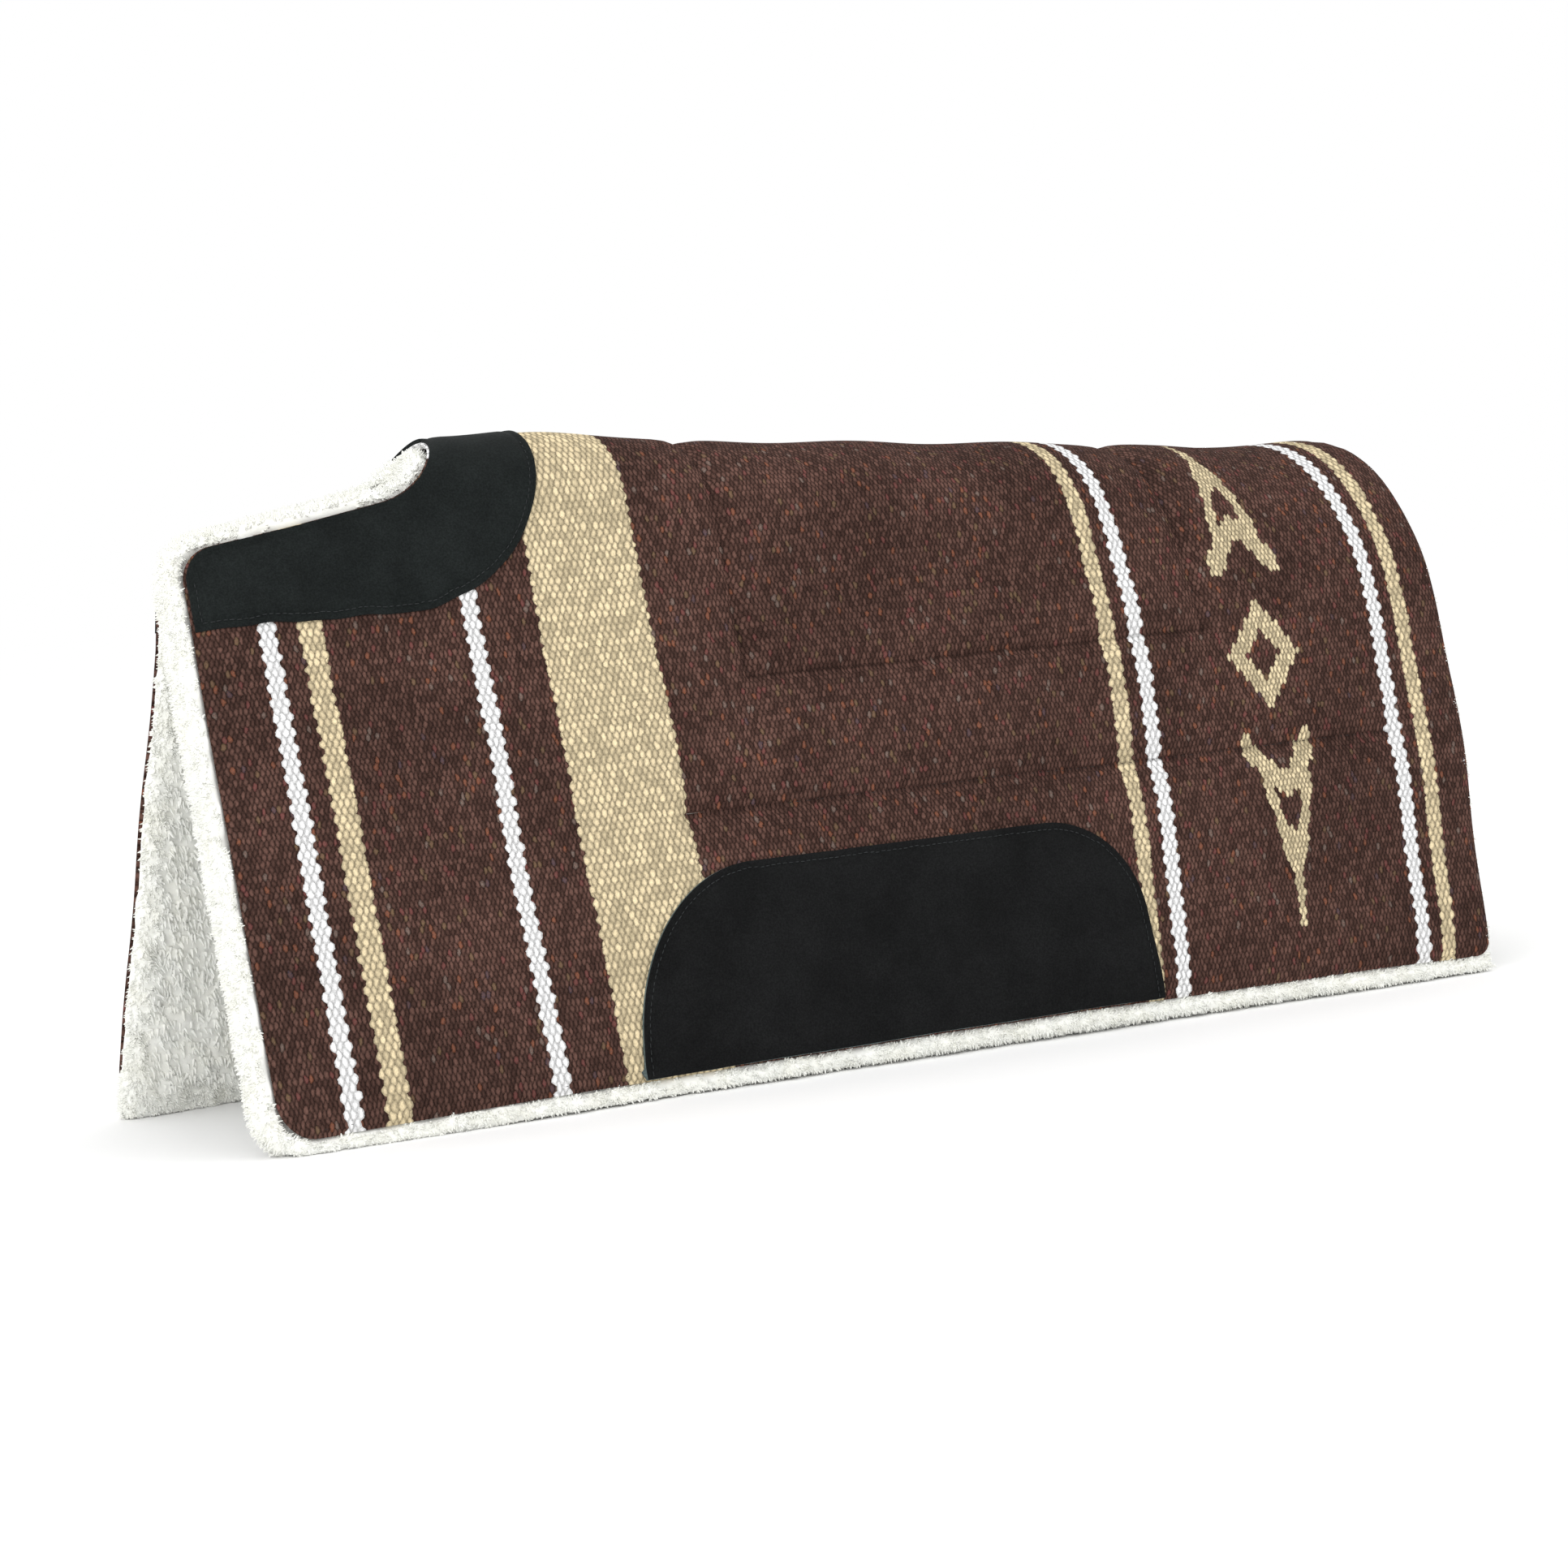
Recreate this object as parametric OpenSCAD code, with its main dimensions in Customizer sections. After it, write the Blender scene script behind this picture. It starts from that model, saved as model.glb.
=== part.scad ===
// Western saddle pad with a cut-back withers notch, standing as a tent on its two hems.
// The pad is a flat rectangle folded over a shallow cone, so every point has flat
// coordinates: u runs back along the spine from the front edge, v runs out from the spine.

/* [Sheet] */
// Length of the woven cover along the spine
cover_len = 788.8; // [740:1:840]
// Width of the woven cover from the spine to a hem
cover_half = 381.7; // [360:1:400]
// Radius of the cover's hem corners
corner_r = 20; // [14:1:30]
// How far the fleece stands out past the cover's edges
fleece_over = 12; // [8:1:12]
// How far the felt core stays back from the cover's edges
core_inset = 6; // [4:1:10]

/* [Layers] */
// Thickness of the woven wool cover
cover_t = 4; // [3:0.5:5]
// Thickness of the felt core
core_t = 6; // [4:0.5:7]
// Thickness of the fleece lining
fleece_t = 12; // [9:0.5:12]
// Thickness of the suede patches
suede_t = 1.6; // [1.2:0.1:2]
// Thickness of a line of stitching on the surface
thread_t = 0.8; // [0.6:0.1:0.8]
// Width of a line of stitching
thread_w = 1.2; // [0.8:0.1:1.6]

/* [Fold] */
// Half angle of the cone that the pad is folded over
cone_angle = 6.9; // [6.7:0.1:7.4]
// Distance from the cone's point to the cover's front edge
apex_len = 130; // [125:1:150]
// Slope of the flat part of each flap, below the horizontal
flap_slope = 74.5; // [70:0.5:75]
// Bend angle from the ridge to each hinge line
hinge_bend = 40; // [34:1:44]
// How far a flap can close from rest
close_limit = 3; // [1:0.5:3]

/* [Cut-back] */
// Radius of the round end of the notch
notch_r = 48; // [40:1:52]
// Distance from the front edge to the centre of that round end
notch_centre = 109; // [95:1:120]
// Half width of the notch just behind the front corners
notch_front = 64; // [60:1:72]
// Radius of the corner between the notch and the front edge
notch_corner = 16; // [10:1:20]

/* [Suede] */
// Distance from the spine to the lower edge of the withers patch
patch_half = 111; // [104:1:120]
// Distance from the front edge to the rear edge of the withers patch at the spine
patch_back = 213; // [205:1:220]
// Radius of the withers patch's lower rear corner
patch_corner = 92; // [80:1:100]
// Front edge of the wear leather
wear_front = 208; // [200:1:225]
// Rear edge of the wear leather
wear_rear = 538; // [500:1:545]
// Height of the wear leather above the hem
wear_height = 109; // [95:1:120]
// Length over which the wear leather's front edge sweeps up from the hem to its top
wear_sweep = 85; // [60:1:100]
// Radius of the wear leather's upper rear corner
wear_corner = 58; // [35:1:65]
// Distance from a suede edge to its stitching
stitch_in = 4; // [3:0.5:6]

/* [Quilting] */
// Distance from the front edge to the quilting line that crosses the spine
quilt_front = 317; // [300:1:330]
// Distance from the front edge to the rear end of the quilted box over the spine
quilt_rear = 617; // [600:1:635]
// Distance from the spine to the quilted box's lower rows
quilt_upper = 166; // [160:1:175]
// Distance from the spine to the lower quilting row
quilt_lower = 241; // [225:1:250]
// Distance from the front edge to the front end of the lower quilting row
row_front = 262; // [258:1:300]
// Distance from the front edge to the rear end of the lower quilting row
row_rear = 735; // [700:1:750]
// Distance from the cover's edge to the sewn edge seam
edge_seam_in = 4; // [3:0.5:5]

/* [Hidden] */

$fn = 96;
ARC_STEPS = 9;
REACH = 1200;

// depths of each layer's faces below the cover's outer surface
core_d = cover_t;
fleece_d = cover_t + core_t;
inside_d = fleece_d + fleece_t;
seam_d = -suede_t - thread_t;
axis_d = seam_d - 0.2;
hinge_gap = 0.5;
hinge_wedge = close_limit + 2;
hem_trim = 10;
hair = 0.02;
let_in = 0.3;

// flat angle, measured at the cone's point, where the bend ends
bend_flat = flap_slope * sin(cone_angle);
cone_axis = [cos(cone_angle), 0, -sin(cone_angle)];

// directions at bend angle a: along the cone's ray, down the flap, and out of the cover
function ray(a) = cos(cone_angle) * cone_axis
    + sin(cone_angle) * (cos(a) * [sin(cone_angle), 0, cos(cone_angle)] + sin(a) * [0, 1, 0]);
function fall(a) = -sin(a) * [sin(cone_angle), 0, cos(cone_angle)] + cos(a) * [0, 1, 0];

// place of flat point p on the flat part of a flap, at depth d, before the pad is levelled
function flap_point(p, d) =
    let (reach = norm([apex_len + p[0], p[1]]),
         turn = atan2(p[1], apex_len + p[0]) - bend_flat)
    reach * cos(turn) * ray(flap_slope) + reach * sin(turn) * fall(flap_slope)
    - d * cross(ray(flap_slope), fall(flap_slope));

// the hems run level, so the pad is turned by the slope that they have on the cone
hem_dir = cos(bend_flat) * ray(flap_slope) - sin(bend_flat) * fall(flap_slope);
level_tilt = atan2(hem_dir[2], hem_dir[0]);
function levelled(q) = [q[0] * cos(level_tilt) + q[2] * sin(level_tilt), q[1],
                        q[2] * cos(level_tilt) - q[0] * sin(level_tilt)];

// points of an arc from angle a0 to a1
function arc(c, r, a0, a1) =
    [for (i = [0 : ARC_STEPS]) c + r * [cos(a0 + (a1 - a0) * i / ARC_STEPS),
                                       sin(a0 + (a1 - a0) * i / ARC_STEPS)]];

// angle on circle 1 where a line that crosses between two circles touches both
function cross_tangent(c1, r1, c2, r2) =
    atan2(c2[1] - c1[1], c2[0] - c1[0]) - acos((r1 + r2) / norm(c2 - c1));

notch_c = [notch_centre, 0];
corner_c = [notch_corner, notch_front + notch_corner];
notch_touch = cross_tangent(notch_c, notch_r, corner_c, notch_corner);

// half of the flat sheet, from the spine to a hem, grown by g at every edge
function sheet_outline(g, low = 0) = concat(
    arc(notch_c, notch_r - g, 0, notch_touch),
    arc(corner_c, notch_corner + g, notch_touch + 180, 180),
    arc([corner_r, cover_half - corner_r + low], corner_r + g, 180, 90),
    arc([cover_len - corner_r, cover_half - corner_r + low], corner_r + g, 90, 0),
    [[cover_len + g, 0]]);

// levelled extents of the fleece, which set the origin
fleece_rim = [for (p = sheet_outline(fleece_over)) for (d = [fleece_d, inside_d])
              if (atan2(p[1], apex_len + p[0]) > bend_flat) levelled(flap_point(p, d))];
ridge_rear = levelled([apex_len + cover_len + fleece_over, 0, 0]);
front_x = min([for (q = fleece_rim) q[0]]);
rear_x = max(concat([for (q = fleece_rim) q[0]], [ridge_rear[0]]));
floor_z = levelled(flap_point([cover_len / 2, cover_half + fleece_over],
                              (fleece_d + inside_d) / 2))[2];

// ---- placing ----

// cone's own frame levelled and moved to the origin at the middle of the base
module placed() {
    translate([-(front_x + rear_x) / 2, 0, -floor_z]) rotate([0, level_tilt, 0]) children();
}

// a right-hand shape as it is, or mirrored for the left flap
module side(left) {
    placed() mirror([0, left ? 1 : 0, 0]) children();
}

// frame at bend angle a: X along the cone's ray, Y down the flap, Z out of the cover
module at_bend(a) {
    rotate(-a, cone_axis) children();
}

// everything on the wrong side of a hinge line, with the wedge that lets the flap close
module past_hinge(gap, wedge) {
    at_bend(hinge_bend) translate([0, 0, -axis_d]) rotate([wedge, 0, 0])
        translate([0, -REACH / 8 + gap, -REACH / 8]) cube([REACH, REACH / 8, REACH / 4]);
}

// ---- layers ----

// curved layer between two bend angles, two depths and two distances from the front edge
module bent(a0, a1, d0, d1, u0, u1) {
    along = [sin(cone_angle), cos(cone_angle)];
    inward = [-cos(cone_angle), sin(cone_angle)];
    r0 = (apex_len + u0) / cos((a0 + a1) / 2 * sin(cone_angle));
    r1 = (apex_len + u1) / cos((a0 + a1) / 2 * sin(cone_angle));
    rotate([0, 90 + cone_angle, 0]) rotate([0, 0, 180 - a1]) rotate_extrude(angle = a1 - a0)
        polygon([r0 * along + d0 * inward, r1 * along + d0 * inward,
                 r1 * along + d1 * inward, r0 * along + d1 * inward]);
}

// flat layer of a flap made from a flat outline in u and v, a hair thinner than the bend
// above it and let into the end of that bend, so that the two join as one solid
module flat_layer(d0, d1) {
    at_bend(flap_slope) translate([0, 0, hair - d1]) linear_extrude(d1 - d0 - 2 * hair)
        rotate([0, 0, -bend_flat]) translate([apex_len, 0]) intersection() {
            children();
            translate([-apex_len, -let_in]) polygon([[0, 0],
                2 * REACH * [cos(bend_flat), sin(bend_flat)], [0, 2 * REACH]]);
        }
}

// where the notch's edge crosses bend angle a, found along the cone's ray
function notch_u(a, g) =
    let (b = a * sin(cone_angle), mid = (apex_len + notch_centre) * cos(b),
         off = (apex_len + notch_centre) * sin(b))
    (mid + sqrt(pow(notch_r - g, 2) - off * off)) * cos(b) - apex_len;

// one whole flap layer: flat part and the bend above it, cut at the hinge line
module flap_layer(g, d0, d1, low = 0) {
    middle = (hinge_bend + flap_slope) / 2;
    difference() {
        union() {
            flat_layer(d0, d1) polygon(sheet_outline(g, low));
            bent(hinge_bend, flap_slope, d0, d1, notch_u(middle, g), cover_len + g);
        }
        past_hinge(hinge_gap, hinge_wedge);
    }
}

// the layer over the spine between the two hinge lines
module spine_layer(g, d0, d1, u0, u1) {
    difference() {
        bent(-hinge_bend, hinge_bend, d0, d1, u0, u1);
        for (m = [0, 1]) mirror([0, m, 0]) at_bend(hinge_bend)
            translate([0, -hinge_gap, -REACH / 8]) cube([REACH, REACH / 8, REACH / 4]);
    }
}

// ---- woven cover, felt core and fleece lining ----

module cover(left) {
    color([0.29, 0.19, 0.16]) side(left) flap_layer(0, 0, cover_t);
}
module core(left) {
    color([0.55, 0.54, 0.5]) side(left) flap_layer(-core_inset, core_d, fleece_d);
}
module fleece(left) {
    color([0.95, 0.94, 0.9]) difference() {
        side(left) flap_layer(fleece_over, fleece_d, inside_d, hem_trim);
        translate([-REACH, -REACH, -REACH]) cube([2 * REACH, 2 * REACH, REACH]);
    }
}
module spine_cover() {
    color([0.29, 0.19, 0.16]) placed()
        spine_layer(0, 0, cover_t, notch_u(hinge_bend / 2, 0), cover_len);
}
module spine_core() {
    color([0.55, 0.54, 0.5]) placed()
        spine_layer(0, core_d, fleece_d, notch_u(hinge_bend / 2, -core_inset), cover_len - core_inset);
}
module spine_fleece() {
    color([0.95, 0.94, 0.9]) placed()
        spine_layer(0, fleece_d, inside_d, notch_u(hinge_bend / 2, fleece_over),
                    cover_len + fleece_over);
}

// ---- suede ----

// outline of the withers patch past the notch, with every free edge moved in by m
function patch_outline(m) = concat([[m, 0], [m, patch_half - m]],
    arc([patch_back - patch_corner, patch_half - patch_corner], patch_corner - m, 90, 0),
    [[patch_back - m, 0]]);

// withers patch on the flat sheet
module patch_flat(m) {
    intersection() {
        polygon(sheet_outline(-m));
        polygon(patch_outline(m));
    }
}
module withers_patch(left) {
    color([0.11, 0.13, 0.13]) side(left) difference() {
        union() {
            flat_layer(-suede_t, 0) patch_flat(0);
            bent(hinge_bend, flap_slope, -suede_t, 0,
                 notch_u((hinge_bend + flap_slope) / 2, 0), patch_back);
        }
        past_hinge(hinge_gap, hinge_wedge);
    }
}
module spine_withers_patch() {
    color([0.11, 0.13, 0.13]) placed()
        spine_layer(0, -suede_t, 0, notch_u(hinge_bend / 2, 0), patch_back);
}

// wear leather on the flat sheet, with every edge moved in by m
module wear_flat(m) {
    top = cover_half - wear_height + wear_corner;
    sweep = [for (p = arc([0, 0], 1, 180, 270)) [wear_front + wear_sweep + p[0] * (wear_sweep - m),
        cover_half - m + p[1] * (wear_height - 2 * m)]];
    polygon(concat([[wear_rear - m, cover_half - m]], sweep,
        arc([wear_rear - wear_corner, top], wear_corner - m, 270, 360)));
}
module wear_leather(left) {
    color([0.11, 0.13, 0.13]) side(left) flat_layer(-suede_t, 0) wear_flat(0);
}

// ---- sewing ----

// the line between a flat shape moved in by m and the same shape moved in further
module patch_seam(left) {
    color([0.75, 0.75, 0.72]) side(left) flat_layer(seam_d, -suede_t) difference() {
        patch_flat(stitch_in);
        patch_flat(stitch_in + thread_w);
    }
}
module spine_patch_seam() {
    front = notch_u(hinge_bend / 2, -stitch_in);
    color([0.75, 0.75, 0.72]) placed() {
        spine_layer(0, seam_d, -suede_t, front, front + thread_w);
        spine_layer(0, seam_d, -suede_t, patch_back - stitch_in - thread_w, patch_back - stitch_in);
    }
}
module wear_seam(left) {
    color([0.2, 0.22, 0.22]) side(left) flat_layer(seam_d, -suede_t) difference() {
        wear_flat(stitch_in);
        wear_flat(stitch_in + thread_w);
    }
}

// half of the quilted box over the spine, and the quilting row below it
module quilting(left) {
    color([0.2, 0.14, 0.12]) side(left) difference() {
        union() {
            flat_layer(-thread_t, 0) {
                difference() {
                    translate([quilt_front, 0]) square([quilt_rear - quilt_front, quilt_upper + thread_w]);
                    translate([quilt_front + thread_w, 0])
                        square([quilt_rear - quilt_front - 2 * thread_w, quilt_upper]);
                }
                translate([row_front, quilt_lower]) square([row_rear - row_front, thread_w]);
            }
            for (u = [quilt_front, quilt_rear - thread_w])
                bent(hinge_bend, flap_slope, -thread_t, 0, u, u + thread_w);
        }
        past_hinge(hinge_gap, hinge_wedge);
    }
}
module spine_quilting() {
    color([0.2, 0.14, 0.12]) placed()
        for (u = [quilt_front, quilt_rear - thread_w])
            spine_layer(0, -thread_t, 0, u, u + thread_w);
}

// sewing that closes the sheet round its edge, on the cover
module edge_seam(left) {
    color([0.35, 0.25, 0.2]) side(left) difference() {
        union() {
            flat_layer(-thread_t, 0) difference() {
                polygon(sheet_outline(-edge_seam_in));
                polygon(sheet_outline(-edge_seam_in - thread_w));
                patch_flat(0);
                wear_flat(0);
            }
            bent(hinge_bend, flap_slope, -thread_t, 0, cover_len - edge_seam_in - thread_w,
                 cover_len - edge_seam_in);
        }
        past_hinge(hinge_gap, hinge_wedge);
    }
}
module spine_edge_seam() {
    color([0.35, 0.25, 0.2]) placed()
        spine_layer(0, -thread_t, 0, cover_len - edge_seam_in - thread_w, cover_len - edge_seam_in);
}

spine_cover();
cover(true);  // left_cover
cover(false);  // right_cover
spine_core();
core(true);  // left_core
core(false);  // right_core
spine_fleece();
fleece(true);  // left_fleece
fleece(false);  // right_fleece
spine_withers_patch();
withers_patch(true);  // left_withers_patch
withers_patch(false);  // right_withers_patch
wear_leather(true);  // left_wear_leather
wear_leather(false);  // right_wear_leather
spine_patch_seam();
patch_seam(true);  // left_patch_seam
patch_seam(false);  // right_patch_seam
wear_seam(true);  // left_wear_seam
wear_seam(false);  // right_wear_seam
spine_quilting();
quilting(true);  // left_quilting
quilting(false);  // right_quilting
spine_edge_seam();
edge_seam(true);  // left_edge_seam
edge_seam(false);  // right_edge_seam
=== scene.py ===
"""Looks of a western saddle pad: woven cover, felt core, fleece lining, suede and stitching."""
import logging
import math
import random
from dataclasses import astuple, dataclass
from enum import Enum
from typing import Callable, Optional, Union

import bmesh
import bpy
import numpy as np
from mathutils import Matrix, Vector
from mathutils.kdtree import KDTree


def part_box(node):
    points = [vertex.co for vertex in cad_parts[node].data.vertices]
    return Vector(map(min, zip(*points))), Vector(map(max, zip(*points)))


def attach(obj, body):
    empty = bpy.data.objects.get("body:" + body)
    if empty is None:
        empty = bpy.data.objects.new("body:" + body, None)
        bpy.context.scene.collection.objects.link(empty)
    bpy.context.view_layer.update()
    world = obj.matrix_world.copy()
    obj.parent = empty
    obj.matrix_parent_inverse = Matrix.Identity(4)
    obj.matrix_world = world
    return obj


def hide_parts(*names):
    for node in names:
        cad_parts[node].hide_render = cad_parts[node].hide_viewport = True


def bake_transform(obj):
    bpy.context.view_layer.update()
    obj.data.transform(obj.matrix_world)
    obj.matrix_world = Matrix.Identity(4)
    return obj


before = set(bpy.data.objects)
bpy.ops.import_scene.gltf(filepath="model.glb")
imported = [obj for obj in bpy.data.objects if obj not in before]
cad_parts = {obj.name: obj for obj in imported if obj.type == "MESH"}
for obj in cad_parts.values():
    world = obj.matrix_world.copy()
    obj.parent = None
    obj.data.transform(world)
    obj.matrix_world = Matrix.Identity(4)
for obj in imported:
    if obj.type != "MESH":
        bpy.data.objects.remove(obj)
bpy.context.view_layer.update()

MM = 0.001
log = logging.getLogger("saddle_pad")
Line = Callable[[np.ndarray], np.ndarray]
Run = tuple[tuple[float, float], tuple[float, float]]
Socket = bpy.types.NodeSocket
Feed = Union[Socket, float, tuple[float, ...]]


class Side(Enum):
    """The two halves of the pad, with the sign of their Y."""

    LEFT = -1
    RIGHT = 1

    @property
    def label(self) -> str:
        """Name used in the names of pieces and bodies."""
        return self.name.lower()

    @property
    def flap(self) -> str:
        """Name of the body that this half's flap belongs to."""
        return f"{self.label}_flap"


# ---- the shape that every layer follows ----


def climb(value: np.ndarray, start: float, run: float, top: float = 1.0) -> np.ndarray:
    """Rises from 0 at start by 1 over each run, and is held at top."""
    return np.clip((value - start) / run, 0.0, top)


def bell(value: np.ndarray, centre: float, width: Union[float, np.ndarray]) -> np.ndarray:
    """A smooth bump of height 1 at the centre."""
    return np.exp(-((value - centre) / width) ** 2)


def ripples(rng: random.Random, u: np.ndarray, v: np.ndarray, count: int,
            lengths: tuple[float, float]) -> np.ndarray:
    """Sum of unit waves of random length, heading and phase over the flat sheet.

    Args:
        rng: Source of the waves' lengths, headings and phases.
        u: Flat places along the spine.
        v: Flat places out from it, signed.
        count: Number of waves.
        lengths: Shortest and longest wave.

    Returns:
        The sum at each place.
    """
    total = np.zeros_like(u)
    for _ in range(count):
        long = rng.uniform(*lengths)
        turn = rng.uniform(0, math.pi)
        phase = rng.uniform(0, 2 * math.pi)
        total += np.sin(2 * math.pi * (u * math.cos(turn) + v * math.sin(turn)) / long + phase)
    return total


@dataclass(frozen=True)
class Hang:
    """How the flaps slip in their own plane as they hang."""

    rear_from: float = 300 * MM
    rear_run: float = 250 * MM
    slump: float = 19 * MM
    slump_from: float = 215 * MM
    slump_run: float = 167 * MM
    slump_power: float = 1.5
    belly: float = 3 * MM
    belly_centre: float = 155 * MM
    belly_width: float = 55 * MM
    drop: float = 4 * MM
    drop_middle: float = 470 * MM
    drop_spread: float = 400 * MM
    drop_from: float = 270 * MM
    drop_run: float = 110 * MM
    swing: float = 8 * MM
    swing_behind: float = 150 * MM
    swing_run: float = 120 * MM
    swing_from: float = 120 * MM
    swing_down: float = 260 * MM
    swing_ridge: float = 60 * MM

    def slip(self, flat: np.ndarray, side: Side) -> np.ndarray:
        """How far flat points move along and down.

        Args:
            flat: Rows of u, v and depth, with v positive on both sides.
            side: The half that the points belong to.

        Returns:
            Rows of the moves in u and v.
        """
        u, v = flat[:, 0], np.abs(flat[:, 1])
        back = climb(u, self.rear_from, self.rear_run)
        low = climb(v, self.slump_from, self.slump_run, 1.2)
        along = self.belly * back * bell(v, self.belly_centre, self.belly_width)
        along -= self.slump * back * low ** self.slump_power
        ends = 0.5 + ((u - self.drop_middle) / self.drop_spread) ** 2
        down = self.drop * ends * climb(v, self.drop_from, self.drop_run, 1.1) ** 2
        if side is Side.RIGHT:
            front = climb(-u, -self.swing_behind, self.swing_run)
            turn = 1.0 - 2.0 * climb(v, self.swing_from, self.swing_down)
            along += self.swing * front * turn * climb(v, 0.0, self.swing_ridge)
        return np.stack([along, down], axis=1)


@dataclass(frozen=True)
class Fold:
    """The shallow cone that the flat pad is folded over, with its flat sizes.

    Flat places are (u, v, depth): u back from the cover's front edge along the spine, v out from
    the spine, depth in from the cover's outer face.
    """

    cone: float = math.radians(6.9)
    apex: float = 130 * MM
    slope: float = math.radians(74.5)
    hinge: float = math.radians(40)
    length: float = 788.8 * MM
    half: float = 381.7 * MM
    over: float = 12 * MM
    middle: float = 16 * MM
    hang: Hang = Hang()
    bend_before: float = 8 * MM
    bend_past: float = 52 * MM

    def _up(self) -> np.ndarray:
        """Direction from the cone's axis to the ridge."""
        return np.array([math.sin(self.cone), 0.0, math.cos(self.cone)])

    def ray(self, bend: np.ndarray) -> np.ndarray:
        """Directions of the cone's rays at the given bend angles.

        Args:
            bend: Angles round the cone from the ridge, in radians.

        Returns:
            Rows of unit vectors in the untilted frame.
        """
        axis = np.array([math.cos(self.cone), 0.0, -math.sin(self.cone)])
        out = np.cos(bend)[:, None] * self._up() + np.sin(bend)[:, None] * np.array([0.0, 1.0, 0.0])
        return math.cos(self.cone) * axis + math.sin(self.cone) * out

    def fall(self, bend: np.ndarray) -> np.ndarray:
        """Directions down the cover, square to the rays, at the given bend angles."""
        return -np.sin(bend)[:, None] * self._up() + np.cos(bend)[:, None] * np.array([0.0, 1.0, 0.0])

    def _cone_place(self, flat: np.ndarray) -> np.ndarray:
        """Places of flat points round the cone, before the pad is levelled.

        Args:
            flat: Rows of u, v and depth.

        Returns:
            Rows of x, y and z in the untilted frame.
        """
        reach = np.hypot(self.apex + flat[:, 0], flat[:, 1])
        turn = np.arctan2(flat[:, 1], self.apex + flat[:, 0])
        last = self.slope * math.sin(self.cone)
        bend = np.minimum(turn, last) / math.sin(self.cone)
        past = np.maximum(turn - last, 0.0)
        ray, fall = self.ray(bend), self.fall(bend)
        place = (reach * np.cos(past))[:, None] * ray + (reach * np.sin(past))[:, None] * fall
        return place - flat[:, 2:3] * np.cross(ray, fall)

    def _level(self, place: np.ndarray) -> np.ndarray:
        """Turns places so that the hems run level.

        Args:
            place: Rows of x, y and z in the untilted frame.

        Returns:
            The rows, turned about the Y axis.
        """
        ends = self._cone_place(np.array([[0.0, self.half, 0.0], [self.length, self.half, 0.0]]))
        run = ends[1] - ends[0]
        tilt = math.atan2(run[2], run[0])
        c, s = math.cos(tilt), math.sin(tilt)
        return np.stack([place[:, 0] * c + place[:, 2] * s, place[:, 1],
                         place[:, 2] * c - place[:, 0] * s], axis=1)

    def _shift(self) -> np.ndarray:
        """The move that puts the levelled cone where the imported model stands.

        Returns:
            The move in x, y and z.
        """
        marks = np.array([[self.length, 0.0, 0.0],
                          [self.length / 2, self.half + self.over, self.middle]])
        ridge_end, hem = self._level(self._cone_place(marks))
        return np.array([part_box("spine_cover")[1][0] - ridge_end[0], 0.0, -hem[2]])

    def place(self, flat: np.ndarray, side: Side) -> np.ndarray:
        """Puts flat points on the folded pad.

        Args:
            flat: Rows of u, v and depth in metres, with v positive on both sides.
            side: The half that the points belong to.

        Returns:
            Rows of x, y and z in the row frame.
        """
        hung = flat.copy()
        hung[:, :2] += self.hang.slip(flat, side)
        world = self._level(self._cone_place(hung)) + self._shift()
        world[:, 1] *= side.value
        return world

    def frames(self, flat: np.ndarray, heading: np.ndarray, side: Side) -> np.ndarray:
        """Local axes on the folded pad, for stamping small shapes.

        Args:
            flat: Rows of u, v and depth.
            heading: Rows of the flat direction (du, dv) that each shape's X lies along.
            side: The half that the points belong to.

        Returns:
            An array of 3 by 3 matrices whose columns are X, Y and Z, with Z out of the cover.
        """
        step = 0.2 * MM
        here = self.place(flat, side)
        ahead = flat.copy()
        ahead[:, :2] += heading * step
        out = flat.copy()
        out[:, 2] -= step
        x = self.place(ahead, side) - here
        z = self.place(out, side) - here
        x /= np.linalg.norm(x, axis=1)[:, None]
        z /= np.linalg.norm(z, axis=1)[:, None]
        y = np.cross(z, x)
        return np.stack([x, y, z], axis=2)


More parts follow.
